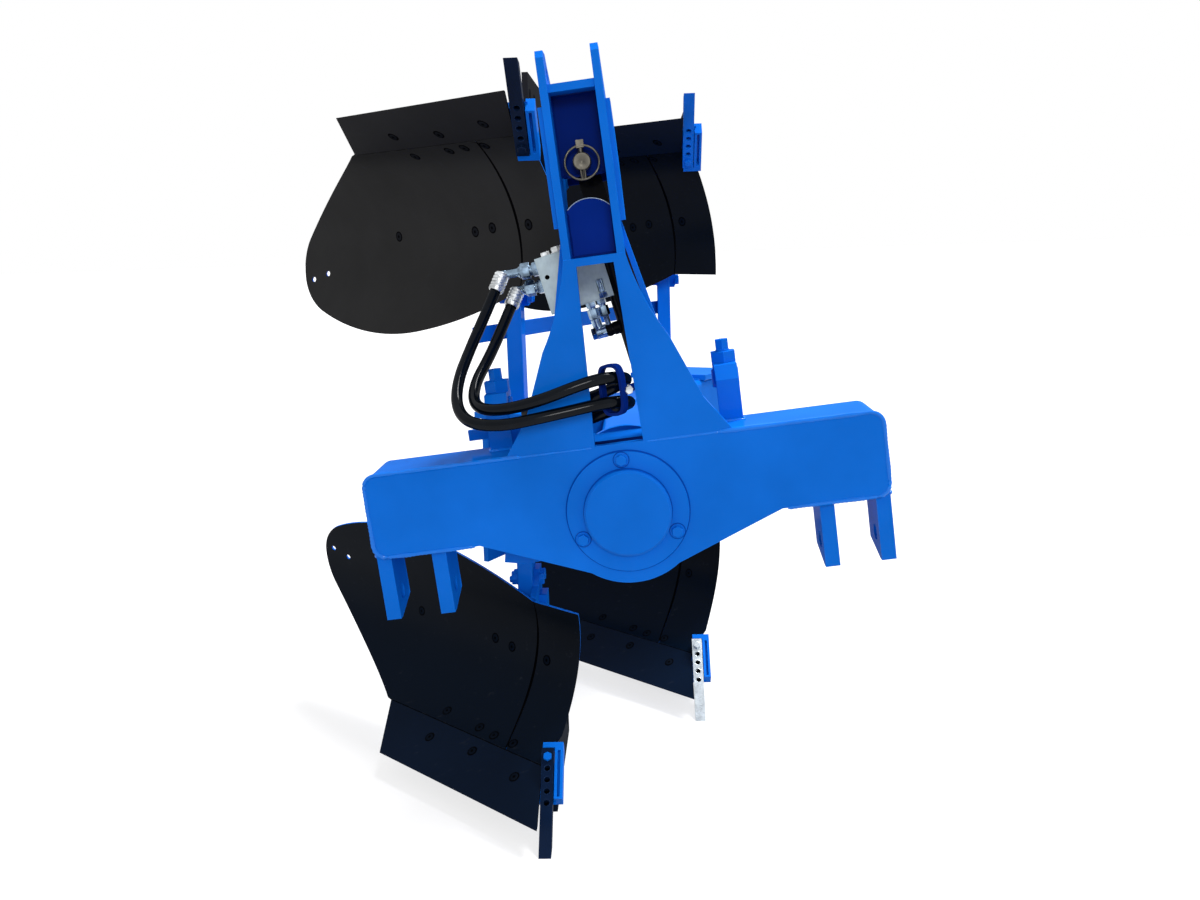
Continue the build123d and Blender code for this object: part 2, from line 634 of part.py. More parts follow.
with BuildPart() as rear_cheek:
    with BuildSketch(frame_face(HUB_X)):
        Circle(HUB_R)
        with Locations((CRANK, 0)):
            Circle(CRANK_END[0])
        make_hull()
        with Locations((CRANK, 0)):
            Circle(PIN / 2, mode=Mode.SUBTRACT)
    extrude(amount=CHEEK_REAR)
parts["crank_cheek_rear"] = rear_cheek

with BuildPart() as bridge:
    with BuildSketch(frame_face(REAR_X)):
        with Locations((-(BRIDGE[0] + BRIDGE[1]) / 2, 0)):
            Rectangle(BRIDGE[1] - BRIDGE[0], BRIDGE[2])
        Circle(HUB_R, mode=Mode.INTERSECT)
    extrude(amount=CHEEK_X - CHEEK - REAR_X)
parts["crank_bridge"] = bridge

with BuildPart() as pin_ends:
    with BuildSketch(frame_face(HUB_X)):
        with Locations((CRANK, 0)):
            Circle(PIN / 2)
    extrude(amount=CHEEK_REAR)
    with BuildSketch(frame_face(EYE_X[1] + EYE_GAP)):
        with Locations((CRANK, 0)):
            Circle(PIN / 2)
    extrude(amount=CHEEK_X - EYE_X[1] - EYE_GAP)
parts["crank_pin_ends"] = pin_ends

# ================================================================ frame: beams and legs
legs_at = [(x + LEG_AT[0], y + LEG_AT[1]) for x, y in TIPS]
slant = math.degrees(math.atan2(FURROW, -BODY_PITCH))
beam_dir = Vector(-BODY_PITCH, FURROW).normalized()
beam_side = Vector(beam_dir.Y, -beam_dir.X)                 # square to the beam, to its rear left
leg_half = LEG[0] / 2 * abs(beam_side.X) + LEG[1] / 2 * abs(beam_side.Y)
beam_off = TUBE / 2 + leg_half
if beam_side.X > 0:
    beam_side = -beam_side
beam_mid = Vector(*legs_at[0]) - beam_side * beam_off
meet = -beam_mid.Y / beam_dir.Y                             # where the main beam crosses Y = 0
meet_x = beam_mid.X + beam_dir.X * meet
BEAM_ENDS = (-BEAM_OVER, math.hypot(BODY_PITCH, FURROW) + BEAM_OVER)


def across(start, along, above=0.0):
    """Plane square to a level beam that starts at a point, at the turnover axis' height or above it."""
    return Plane(origin=(start.X, start.Y, AXIS_Z + above), x_dir=Vector(0, 0, 1).cross(along), z_dir=along)


beam_start = beam_mid + beam_dir * BEAM_ENDS[0]
with BuildPart() as main_beam:
    with BuildSketch(across(beam_start, beam_dir)):
        RectangleRounded(TUBE, TUBE, TUBE_CORNER)
        Rectangle(TUBE - 2 * TUBE_WALL, TUBE - 2 * TUBE_WALL, mode=Mode.SUBTRACT)
    extrude(amount=BEAM_ENDS[1] - BEAM_ENDS[0])
    for cap in (0, BEAM_ENDS[1] - BEAM_ENDS[0] - TUBE_WALL):
        with BuildSketch(across(beam_start + beam_dir * cap, beam_dir)):
            RectangleRounded(TUBE, TUBE, TUBE_CORNER)
        extrude(amount=TUBE_WALL)
parts["main_beam"] = main_beam

with BuildPart() as hub_beam:
    with BuildSketch(across(Vector(HUB_X, 0), Vector(-1, 0))):
        RectangleRounded(TUBE, TUBE, TUBE_CORNER)
        Rectangle(TUBE - 2 * TUBE_WALL, TUBE - 2 * TUBE_WALL, mode=Mode.SUBTRACT)
    extrude(amount=HUB_X - meet_x)
    with BuildSketch(across(beam_start, beam_dir)):
        Rectangle(TUBE, TUBE)
    extrude(amount=BEAM_ENDS[1], mode=Mode.SUBTRACT)
parts["hub_beam"] = hub_beam

brace_dir = (Vector(beam_start.X, beam_start.Y) + beam_dir * BRACE_TO - Vector(BRACE_FROM, 0)).normalized()
with BuildPart() as brace:
    with BuildSketch(across(Vector(BRACE_FROM, 0), brace_dir)):
        Rectangle(BRACE, BRACE)
        Rectangle(BRACE - 2 * BRACE_WALL, BRACE - 2 * BRACE_WALL, mode=Mode.SUBTRACT)
    extrude(amount=(beam_start + beam_dir * BRACE_TO - Vector(BRACE_FROM, 0)).length)
    with BuildSketch(across(beam_start, beam_dir)):
        Rectangle(TUBE, TUBE)
    extrude(amount=BEAM_ENDS[1], mode=Mode.SUBTRACT)
    with BuildSketch(across(Vector(HUB_X, 0), Vector(-1, 0))):
        Rectangle(TUBE, TUBE)
    extrude(amount=HUB_X - meet_x, mode=Mode.SUBTRACT)
parts["front_brace"] = brace

for (leg_x, leg_y), word in zip(legs_at, ("front", "rear")):
    with BuildPart() as leg:
        with BuildSketch(Plane.XY.offset(LEG_LOW)):
            with Locations((leg_x, leg_y)):
                RectangleRounded(*LEG, LEG_CORNER)
        extrude(amount=2 * (AXIS_Z - LEG_LOW))
    parts[f"leg_{word}"] = leg

with BuildPart() as clamps:
    for side in (-1, 1):
        with BuildSketch(Plane.XY.offset(AXIS_Z + side * (TUBE + CLAMP[2]) / 2)):
            for leg_x, leg_y in legs_at:
                middle = Vector(leg_x, leg_y) - beam_side * beam_off / 2
                with Locations(Location((middle.X, middle.Y, 0), slant)):
                    Rectangle(CLAMP[0], TUBE + 2 * (LEG[1] + CLAMP[1]))
                with Locations((leg_x, leg_y)):
                    Rectangle(LEG[0], LEG[1], mode=Mode.SUBTRACT)
        extrude(amount=CLAMP[2] / 2, both=True)
parts["leg_clamps"] = clamps

tie_side = beam_side * (leg_half + TIE[0] / 2 - TIE_NOTCH)
with BuildPart() as ties:
    for side in (-1, 1):
        start = Vector(*legs_at[0]) + tie_side - beam_dir * TIE_OVER[0]
        with BuildSketch(across(start, beam_dir, side * TIE_V)):
            Rectangle(*TIE)
        extrude(amount=math.hypot(BODY_PITCH, FURROW) + sum(TIE_OVER))
    for word in ("front", "rear"):
        add(parts[f"leg_{word}"].part, mode=Mode.SUBTRACT)
parts["leg_ties"] = ties

# ================================================================ plough bodies
# s runs level, square to the share's edge and away from it; the surfaces are drawn in (s, Z).
edge_dir = Vector(math.cos(WORK), math.sin(WORK), 0)
rise = Plane(origin=(0, 0, 0), x_dir=(-edge_dir.Y, edge_dir.X, 0), z_dir=edge_dir)
facing = Plane(origin=(300, 0, 0), x_dir=(0, 1, 0), z_dir=(1, 0, 0))
REACH = 1500.0
arc_from = math.degrees(math.atan2(SHARE_HEAD[1] - BOARD_C[1], SHARE_HEAD[0] - BOARD_C[0]))
arc_to = math.degrees(math.atan2(BOARD_TOP[1] - BOARD_C[1], BOARD_TOP[0] - BOARD_C[0]))
reach = math.hypot(BOARD_TOP[1] - BOARD_C[1], BOARD_TOP[0] - BOARD_C[0])
arc_to -= math.degrees(math.acos(BOARD_R / reach))
board_line = math.sqrt(reach**2 - BOARD_R**2)


def board_profile(inner, outer):
    """Sketch a closed band behind the working face, from inner to outer millimetres behind it."""
    with BuildSketch(rise) as band:
        with BuildLine():
            near = CenterArc(BOARD_C, BOARD_R + inner, arc_from, arc_to - arc_from)
            near_top = Line(near @ 1, near @ 1 + (near % 1) * board_line)
            far = CenterArc(BOARD_C, BOARD_R + outer, arc_from, arc_to - arc_from)
            far_top = Line(far @ 1, far @ 1 + (far % 1) * board_line)
            Line(near @ 0, far @ 0)
            Line(near_top @ 1, far_top @ 1)
        make_face()
    return band.sketch


share_slope = (Vector(*SHARE_HEAD) - Vector(*SHARE_FOOT)).normalized()
share_under = Vector(share_slope.Y, -share_slope.X)
foot_line = Vector(*SHARE_FOOT)
share_inner = BAR_Y - BAR[0] / 2 - BAR_GAP                  # the share ends beside the bar point
with BuildPart() as share:
    with BuildSketch(rise):
        with BuildLine():
            crest = Vector(*SHARE_HEAD) - share_slope * SEAM
            Polyline(
                tuple(foot_line)[:2],
                tuple(crest)[:2],
                tuple(crest + share_under * SHARE)[:2],
                tuple(foot_line + share_under * SHARE + share_slope * SHARE_BEVEL)[:2],
                close=True,
            )
        make_face()
    extrude(amount=REACH, both=True)
    with BuildSketch(facing):
        with Locations(((share_inner - SHARE_END) / 2, SHARE_HEAD[1])):
            Rectangle(SHARE_END + share_inner, 2 * SHARE_HEAD[1])
    extrude(amount=-2 * REACH, mode=Mode.INTERSECT)

with BuildPart() as mouldboard:
    extrude(board_profile(0, BOARD), amount=REACH, dir=rise.z_dir, both=True)
    with BuildSketch(facing):
        with BuildLine():
            seam = ThreePointArc((-112, 105), (-48, 225), (-31, 432))
            ThreePointArc((-31, 432), (-150, 487), (-285, 527))
            ThreePointArc((-285, 527), (-430, 538), (-600, 492))
            ThreePointArc((-600, 492), (-668, 392), (-640, 302))
            wing = ThreePointArc((-640, 302), (-530, 192), (-385, 105))
            Line(wing @ 1, seam @ 0)
        make_face()
        with Locations(WING_HOLES):
            RegularPolygon(WING_HOLE / 2, 8, mode=Mode.SUBTRACT)
    extrude(amount=-2 * REACH, mode=Mode.INTERSECT)

with BuildPart() as shin:
    extrude(board_profile(0, BOARD), amount=REACH, dir=rise.z_dir, both=True)
    with BuildSketch(facing):
        with BuildLine():
            seam = ThreePointArc((-110, 105), (-46, 225), (-29, 432))
            Line(seam @ 1, (76, 433))
            edge = ThreePointArc((76, 433), (69, 295), (33, 168))
            Polyline(edge @ 1, (-11, 118), (-11, 105), seam @ 0)
        make_face()
    extrude(amount=-2 * REACH, mode=Mode.INTERSECT)

def backing(behind):
    """Corners of the straight cuts that follow the board's curve, from its foot up, behind its back."""
    step = (arc_to - arc_from) / CHORDS
    radius = BOARD_R + BOARD + behind
    spokes = [Vector(radius, 0).rotate(Axis.Z, arc_from + step * number) for number in range(CHORDS + 1)]
    spokes.append(spokes[-1] + Vector(0, board_line).rotate(Axis.Z, arc_to))
    return [(BOARD_C[0] + spoke.X, BOARD_C[1] + spoke.Y) for spoke in spokes]


with BuildPart() as pad:
    with BuildSketch(rise):
        with BuildLine():
            near = CenterArc(BOARD_C, BOARD_R + BOARD, arc_from, arc_to - arc_from)
            near_top = Line(near @ 1, near @ 1 + (near % 1) * board_line)
            Polyline(near_top @ 1, *reversed(backing(FROG)), near @ 0)
        make_face()
    extrude(amount=REACH, both=True)
    with BuildSketch(facing):
        with Locations(PAD[:2]):
            Rectangle(*PAD[2:])
    extrude(amount=-2 * REACH, mode=Mode.INTERSECT)

with BuildPart() as web:
    with BuildSketch(rise):
        with BuildLine():
            Polyline(*backing(SETBACK), (900, 530), (900, 30), (70, 30), (126, 108), close=True)
        make_face()
    extrude(amount=REACH, both=True)
    with BuildSketch(Plane.XZ.offset(-FROG_Y)):
        with BuildLine():
            heel = [(-120, 75), (-330, 62), (-450, 110), (-533, 190)]
            shoulder = [(-533, 472), (-480, 472), (-450, 440), (-300, 430)]
            Polyline(*heel, *shoulder, (-120, 200), close=True)
        make_face()
    extrude(amount=-FROG, mode=Mode.INTERSECT)

with BuildPart() as stiffener:
    with BuildSketch(Plane.XZ.offset(-FROG_Y - FROG)):
        with Locations(STIFFENER[:2]):
            Rectangle(*STIFFENER[2:4])
    extrude(amount=-STIFFENER[4])

with BuildPart() as foot:
    with BuildSketch(Plane.XY.offset(FOOT[0])):
        with Locations(((FOOT[1] + FOOT[2]) / 2, (FROG_Y + LANDSIDE_Y) / 2)):
            Rectangle(FOOT[1] - FOOT[2], LANDSIDE_Y - FROG_Y)
    extrude(amount=FROG)

with BuildPart() as seat:
    with BuildSketch(rise):
        with BuildLine():
            low = foot_line + share_slope * SEAT[0] + share_under * SHARE
            high = foot_line + share_slope * SEAT[1] + share_under * SHARE
            Polyline(
                tuple(low)[:2],
                tuple(high)[:2],
                tuple(high + share_under * FROG)[:2],
                tuple(low + share_under * FROG)[:2],
                close=True,
            )
        make_face()
    extrude(amount=REACH, both=True)
    with BuildSketch(facing):
        with Locations((SEAT[2], SHARE_HEAD[1])):
            Rectangle(SEAT[3], 2 * SHARE_HEAD[1])
    extrude(amount=-2 * REACH, mode=Mode.INTERSECT)

slope = math.radians(BAR_ANGLE)
bar_side = Plane(origin=(0, BAR_Y, 0), x_dir=(-math.cos(slope), 0, math.sin(slope)), z_dir=(0, -1, 0))
with BuildPart() as bar_point:
    with BuildSketch(bar_side):
        with BuildLine():
            Polyline((0, 0), (BAR[2], 0), (BAR[2], BAR[1]), (30, BAR[1]), close=True)
        make_face()
    extrude(amount=BAR[0] / 2, both=True)
    count, size, pitch, first = BAR_HOLES
    with BuildSketch(Plane(origin=(0, BAR_Y, 0), x_dir=(0, -1, 0), z_dir=bar_side.y_dir)):
        with Locations([(0, BAR[2] - first - pitch * number) for number in range(count)]):
            RegularPolygon(size / 2, 8)
    extrude(amount=BAR[1], mode=Mode.SUBTRACT)

with BuildPart() as holder:
    block_foot, block_top = (bar_side.from_local_coords((run, BAR[1], 0)) for run in HOLDER_BLOCK)
    with BuildSketch(Plane.XZ.offset(-FROG_Y - FROG + BAR_GAP)):
        with BuildLine():
            Polyline(
                (block_foot.X, block_foot.Z),
                (block_top.X, block_top.Z),
                (LANDSIDE_FROM + BAR_GAP, block_top.Z),
                (LANDSIDE_FROM + BAR_GAP, FOOT[0]),
                close=True,
            )
        make_face()
    extrude(amount=FROG_Y + FROG - BAR_GAP - HOLDER[0] - HOLDER_SET)
    # the cheek beside the bar point, then the foot that takes its thrust: run, inner face, depth
    for run, start, deep in (
        (HOLDER_CHEEK, HOLDER[0], HOLDER[2]),
        (HOLDER_FOOT, share_inner + HOLDER_SET, BAR[1] + BAR_GAP),
    ):
        with BuildSketch(bar_side.offset(BAR_Y - start)):
            with Locations((sum(run) / 2, deep / 2 + 1)):
                Rectangle(run[1] - run[0], deep - 2)
        extrude(amount=start - HOLDER[1])
    with BuildSketch(bar_side.offset(BAR_Y - GROOVE[0])):
        with Locations((sum(HOLDER_GROOVE) / 2, GROOVE[2] / 2)):
            Rectangle(HOLDER_GROOVE[1] - HOLDER_GROOVE[0], GROOVE[2])
    extrude(amount=GROOVE[0] - GROOVE[1], mode=Mode.SUBTRACT)
    add(share.part, mode=Mode.SUBTRACT)

with BuildPart() as frog:
    add(web.part)
    add(stiffener.part)
    add(pad.part)
    add(foot.part)
    add(seat.part)
    add(holder.part)

with BuildPart() as landside:
    with BuildSketch(Plane.XZ.offset(-LANDSIDE_Y)):
        with BuildLine():
            Polyline(
                (LANDSIDE_FROM, 115),
                (-360, 145),
                (-430, 105),
                (HEEL, 105),
                (HEEL, 0),
                (LANDSIDE_FROM, 0),
                close=True,
            )
        make_face()
    extrude(amount=-LANDSIDE)

kinds = {
    "share": share,
    "mouldboard": mouldboard,
    "shin": shin,
    "frog": frog,
    "landside": landside,
    "bar_point": bar_point,
}
solids = {name: piece.part for name, piece in parts.items()}
for kind, piece in kinds.items():
    for (tip_x, tip_y), row in zip(TIPS, ("front", "rear")):
        low = piece.part.moved(Location((tip_x, tip_y, 0)))
        solids[f"{kind}_{row}_lower"] = low
        solids[f"{kind}_{row}_upper"] = mirror(low, about=Plane.XY.offset(AXIS_Z))

# ================================================================ export
boxes = [solid.bounding_box() for solid in solids.values()]
lowest = Vector(min(b.min.X for b in boxes), min(b.min.Y for b in boxes), min(b.min.Z for b in boxes))
highest = Vector(max(b.max.X for b in boxes), max(b.max.Y for b in boxes), max(b.max.Z for b in boxes))
to_origin = Location((-(lowest.X + highest.X) / 2, -(lowest.Y + highest.Y) / 2, -lowest.Z))
for name, solid in solids.items():
    placed = solid.moved(to_origin)
    placed.label = name
    export_step(placed, f"parts/{name}.step")
print("turnover range", TURN, "swing", round(SWING, 3), "stroke", round(STROKE, 2))
print("moved by", to_origin.position, "size", highest - lowest, "nodes", len(solids))
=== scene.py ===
import json
import math

import bmesh
import bpy
from mathutils import Matrix, Vector, noise


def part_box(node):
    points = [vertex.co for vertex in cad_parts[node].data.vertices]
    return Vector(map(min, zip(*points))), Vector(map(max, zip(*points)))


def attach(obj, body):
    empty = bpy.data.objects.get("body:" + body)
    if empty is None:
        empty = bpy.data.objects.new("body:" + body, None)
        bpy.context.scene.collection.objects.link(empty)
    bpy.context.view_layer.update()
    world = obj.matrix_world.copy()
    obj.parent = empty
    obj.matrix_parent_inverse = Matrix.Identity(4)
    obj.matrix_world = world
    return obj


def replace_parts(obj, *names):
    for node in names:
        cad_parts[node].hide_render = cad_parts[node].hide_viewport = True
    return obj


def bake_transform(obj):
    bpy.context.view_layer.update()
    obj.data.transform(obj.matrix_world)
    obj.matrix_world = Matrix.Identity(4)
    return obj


# Two-furrow hydraulic reversible mouldboard plough. Everything is in metres, in the frame's own axes:
# +X forward, +Y to the driver's left, +Z up, with the origin on the floor. Places on the headstock and the
# cylinder are in millimetres, and go through head() and lean().

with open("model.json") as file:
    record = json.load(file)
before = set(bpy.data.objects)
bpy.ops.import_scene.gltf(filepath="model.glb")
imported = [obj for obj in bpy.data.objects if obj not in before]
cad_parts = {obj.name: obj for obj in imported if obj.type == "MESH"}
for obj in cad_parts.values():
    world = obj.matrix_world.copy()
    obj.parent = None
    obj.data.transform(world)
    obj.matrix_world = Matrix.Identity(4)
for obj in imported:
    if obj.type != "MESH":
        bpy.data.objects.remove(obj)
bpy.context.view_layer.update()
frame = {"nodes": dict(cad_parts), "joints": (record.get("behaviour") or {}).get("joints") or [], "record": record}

# ------------------------ places taken from the frame
JOINTS = {joint["name"]: joint for joint in frame["joints"]}
MOUNTS = {mount["name"]: mount for mount in frame["record"]["mounts"]}
X = Vector((1, 0, 0))
Z = Vector((0, 0, 1))
AXIS = Vector(JOINTS["turnover"]["pos_m"])  # on the turnover axis
U = Vector(MOUNTS["top_link"]["axis"]).normalized()  # along the crossbeam
V = X.cross(U)  # up the tower
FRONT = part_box("headstock_front_plate")[1].x  # front face of the headstock
PIN = Vector(JOINTS["cylinder_swing"]["pos_m"])  # tower pin of the cylinder
DOWN = Vector(JOINTS["rod_slide"]["axis"]).normalized()  # along the cylinder
ACROSS = X.cross(DOWN)  # square to the cylinder
ROWS = ("front", "rear")
SIDES = ("lower", "upper")

# the plough body's surfaces, measured from its bar point
WORK = math.radians(46)  # angle of the share's edge to the direction of travel
SHARE_FOOT = (0.0, 0.055)  # these three are (distance back, height)
SHARE_HEAD = (0.115, 0.125)
BOARD_C = (0.028, 0.332)  # middle of the board's arc
BOARD_R = 0.225
BOARD_FLAT = (0.2408, 0.405, -0.342)  # where the curve runs out into a straight top, and its slope
BOARD_THICK = 0.008
SHARE_THICK = 0.010
BAR_Y = 0.005  # middle of the bar point
BAR_WAY = math.radians(43.5)  # its slope
BAR_HOLES = [0.216 - 0.025 * k for k in range(5)]  # runs up the bar, the top one first
# seam of mouldboard and shin, as three (y, z) of its arc
SEAM = ((-0.111, 0.105), (-0.047, 0.225), (-0.030, 0.432))
BOLTS = [  # (y, z) of the plough bolts
    (-0.351, 0.309), (-0.138, 0.304), (-0.094, 0.297), (-0.006, 0.293), (-0.257, 0.138), (-0.167, 0.135),
    (-0.129, 0.133), (-0.081, 0.133), (-0.290, 0.100), (-0.177, 0.106), (-0.070, 0.099),
]


def head(u, v, x=0.0):
    """A point of the headstock in mm: u along the crossbeam, v up the tower, x forward of the front plate."""
    return Vector((FRONT + x / 1000, AXIS.y, AXIS.z)) + U * (u / 1000) + V * (v / 1000)


def lean(a, down, x=0.0):
    """A point of the cylinder in mm: a to its left, down from the tower pin, x forward of its middle."""
    return PIN + ACROSS * (a / 1000) + DOWN * (down / 1000) + X * (x / 1000)


def tip(row):
    """The working tip of a lower plough body."""
    low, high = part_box(f"bar_point_{row}_lower")
    return Vector((high.x, (low.y + high.y) / 2 - BAR_Y, 0))


def body_point(row, side, x, y, z):
    """A point of a plough body from its bar point, mirrored about the axis for the upper ones."""
    base = tip(row)
    height = z if side == "lower" else 2 * AXIS.z - z
    return Vector((base.x + x, base.y + y, height))


def body_way(side, way):
    """A direction of a lower body, mirrored for the upper ones."""
    return Vector((way[0], way[1], way[2] if side == "lower" else -way[2]))


def on_face(y, z):
    """Point and forward normal of the working surface at y and z of a lower body, from its bar point."""
    if z < SHARE_HEAD[1]:
        slope = Vector((SHARE_HEAD[0] - SHARE_FOOT[0], SHARE_HEAD[1] - SHARE_FOOT[1])).normalized()
        s = SHARE_FOOT[0] + (z - SHARE_FOOT[1]) * slope.x / slope.y
        normal = Vector((-slope.y, slope.x))
    elif z < BOARD_FLAT[1]:
        s = BOARD_C[0] + math.sqrt(BOARD_R**2 - (z - BOARD_C[1]) ** 2)
        normal = Vector((BOARD_C[0] - s, BOARD_C[1] - z)).normalized()
    else:
        s = BOARD_FLAT[0] + BOARD_FLAT[2] * (z - BOARD_FLAT[1])
        normal = Vector((-1, BOARD_FLAT[2])).normalized()
    x = (y * math.cos(WORK) - s) / math.sin(WORK)
    way = Vector((-math.sin(WORK) * normal.x, math.cos(WORK) * normal.x, normal.y))
    return Vector((x, y, z)), way


# ------------------------ materials
BEVEL_SAMPLES = 4
EDGE_COSINES = (0.8, 0.98)  # between rounded and flat normal: worn edge, and no edge
BOARD_FRONT = (0.08, 0.1)  # forward part of the normal over which a back turns into a working face
BOARD_FOOT = (0.12, 0.36)  # heights over which a board's bluer foot fades


def material(name, color, rough, metal=0.0, coat=0.0, coat_rough=0.1):
    """A Principled material; returns it with its node tree, its shader and a texture coordinate output."""
    mat = bpy.data.materials.new(name)
    mat.use_nodes = True
    tree = mat.node_tree
    shader = tree.nodes["Principled BSDF"]
    shader.inputs["Base Color"].default_value = (*color, 1)
    shader.inputs["Roughness"].default_value = rough
    shader.inputs["Metallic"].default_value = metal
    shader.inputs["Coat Weight"].default_value = coat
    shader.inputs["Coat Roughness"].default_value = coat_rough
    mat.diffuse_color = (*color, 1)
    coords = tree.nodes.new("ShaderNodeTexCoord").outputs["Object"]
    return mat, tree, shader, coords


def feed(tree, shader, **values):
    """Link outputs into a shader's inputs; an input's name has _ for its spaces."""
    for key, value in values.items():
        tree.links.new(value, shader.inputs[key.replace("_", " ")])


def add_noise(tree, coords, scale, detail=3.0, rough=0.5, stretch=None):
    """Noise of a given number of grains a metre, stretched along an axis if asked."""
    if stretch:
        mapping = tree.nodes.new("ShaderNodeMapping")
        mapping.inputs["Scale"].default_value = stretch
        tree.links.new(coords, mapping.inputs["Vector"])
        coords = mapping.outputs["Vector"]
    node = tree.nodes.new("ShaderNodeTexNoise")
    node.inputs["Scale"].default_value = scale
    node.inputs["Detail"].default_value = detail
    node.inputs["Roughness"].default_value = rough
    tree.links.new(coords, node.inputs["Vector"])
    return node.outputs["Fac"]


def ramp(tree, value, low, high, start, end):
    """Map a value from low..high to start..end, clamped."""
    node = tree.nodes.new("ShaderNodeMapRange")
    for key, number in (("From Min", low), ("From Max", high), ("To Min", start), ("To Max", end)):
        node.inputs[key].default_value = number
    tree.links.new(value, node.inputs["Value"])
    return node.outputs["Result"]


def clouds(tree, coords, grains, detail, between, to=(0.0, 1.0), rough=0.5, stretch=None):
    """Noise of so many grains a metre, with its values between two limits mapped to a range."""
    return ramp(tree, add_noise(tree, coords, grains, detail, rough, stretch), *between, *to)


def mix(tree, factor, first, second):
    """Mix two colours; each is a colour or an output."""
    node = tree.nodes.new("ShaderNodeMix")
    node.data_type = "RGBA"
    for key, color in ((6, first), (7, second)):
        if isinstance(color, tuple):
            node.inputs[key].default_value = (*color, 1)
        else:
            tree.links.new(color, node.inputs[key])
    tree.links.new(factor, node.inputs[0])
    return node.outputs[2]


def rounded_normal(tree, radius):
    """The normal with its edges rounded to a radius."""
    node = tree.nodes.new("ShaderNodeBevel")
    node.samples = BEVEL_SAMPLES
    node.inputs["Radius"].default_value = radius
    return node.outputs["Normal"]


def bump(tree, shader, parts, edge=0.0012):
    """Round the normals at edges, then chain bumps of (height, strength, distance) into the shader."""
    last = rounded_normal(tree, edge)
    for height, strength, distance in parts:
        node = tree.nodes.new("ShaderNodeBump")
        node.inputs["Strength"].default_value = strength
        node.inputs["Distance"].default_value = distance
        tree.links.new(height, node.inputs["Height"])
        tree.links.new(last, node.inputs["Normal"])
        last = node.outputs["Normal"]
    tree.links.new(last, shader.inputs["Normal"])


def edge_mask(tree, coords, radius=0.002):
    """1 along outer edges, broken up by noise, for wear."""
    flat = tree.nodes.new("ShaderNodeNewGeometry").outputs["True Normal"]
    dot = tree.nodes.new("ShaderNodeVectorMath")
    dot.operation = "DOT_PRODUCT"
    tree.links.new(rounded_normal(tree, radius), dot.inputs[0])
    tree.links.new(flat, dot.inputs[1])
    near = ramp(tree, dot.outputs["Value"], *EDGE_COSINES, 1.0, 0.0)
    patchy = clouds(tree, coords, 45, 5, (0.42, 0.6), (0.15, 1.0))
    both = tree.nodes.new("ShaderNodeMath")
    both.operation = "MULTIPLY"
    tree.links.new(near, both.inputs[0])
    tree.links.new(patchy, both.inputs[1])
    return both.outputs[0]


def paint(name, color, rough=0.3, shine=0.08, wear=1.6):
    """Sprayed gloss enamel on hot-rolled steel: slow waves, orange peel, runs of shade, lighter edges."""
    mat, tree, shader, coords = material(name, color, rough, coat=shine)
    shader.inputs["Specular IOR Level"].default_value = 0.0
    darker = tuple(c * 0.86 for c in color)
    lighter = tuple(min(1, c * 1.1 + 0.002) for c in color)
    body = mix(tree, clouds(tree, coords, 5, 4, (0.32, 0.7)), darker, lighter)
    worn = tuple(min(1, c * wear + 0.004) for c in color)
    dullness = clouds(tree, coords, 30, 4, (0.3, 0.7), (rough - 0.06, rough + 0.1))
    feed(tree, shader, Base_Color=mix(tree, edge_mask(tree, coords), body, worn), Roughness=dullness)
    waves = add_noise(tree, coords, 14, 3)
    peel = add_noise(tree, coords, 320, 2)
    bump(tree, shader, [(waves, 0.32, 0.002), (peel, 0.08, 0.0005)])
    return mat


def working_paint(name, face, back, foot=None):
    """Satin black on the working face of a board or share, bluer at its foot, with its own edges and back."""
    mat, tree, shader, coords = material(name, face, 0.42, coat=0.06, coat_rough=0.3)
    shader.inputs["Specular IOR Level"].default_value = 0.0
    geometry = tree.nodes.new("ShaderNodeNewGeometry")
    split = tree.nodes.new("ShaderNodeSeparateXYZ")
    tree.links.new(geometry.outputs["True Normal"], split.inputs[0])
    is_face = ramp(tree, split.outputs["X"], *BOARD_FRONT, 0.0, 1.0)
    haze = clouds(tree, coords, 4, 4, (0.35, 0.7))
    front = mix(tree, haze, face, tuple(c * 1.35 for c in face))
    if foot:
        height = tree.nodes.new("ShaderNodeSeparateXYZ")
        tree.links.new(coords, height.inputs[0])
        front = mix(tree, ramp(tree, height.outputs["Z"], *BOARD_FOOT, 1.0, 0.0), front, foot)
    scuffs = clouds(tree, coords, 60, 6, (0.62, 0.74), (0.0, 0.35), 0.7, (1, 0.15, 1))
    front = mix(tree, scuffs, front, SCUFF)
    front = mix(tree, edge_mask(tree, coords, 0.0015), front, tuple(c * 2 + 0.02 for c in face))
    dullness = clouds(tree, coords, 14, 5, (0.3, 0.7), (0.34, 0.5))
    feed(tree, shader, Base_Color=mix(tree, is_face, back, front), Roughness=dullness)
    waves = add_noise(tree, coords, 9, 3)
    grain = add_noise(tree, coords, 260, 3)
    bump(tree, shader, [(waves, 0.16, 0.003), (grain, 0.1, 0.0004)], 0.0008)
    return mat


def metal(name, color, rough, stretch=None, scale=120, grime_and_reflection=0.72):
    """Bare or plated steel: fine grain, stretched if it is brushed, and clouds of darker tone, partly dirt and
    partly painted reflection.
    """
    mat, tree, shader, coords = material(name, color, rough, metal=1.0)
    grain = add_noise(tree, coords, scale, 4, 0.6, stretch)
    dullness = ramp(tree, grain, 0.3, 0.7, rough - 0.07, rough + 0.12)
    cloud = clouds(tree, coords, 55, 4, (0.35, 0.65))
    grime_and_reflection_tone = mix(tree, cloud, tuple(c * grime_and_reflection for c in color), color)
    feed(tree, shader, Base_Color=grime_and_reflection_tone, Roughness=dullness)
    bump(tree, shader, [(grain, 0.12, 0.0004)], 0.0006)
    return mat


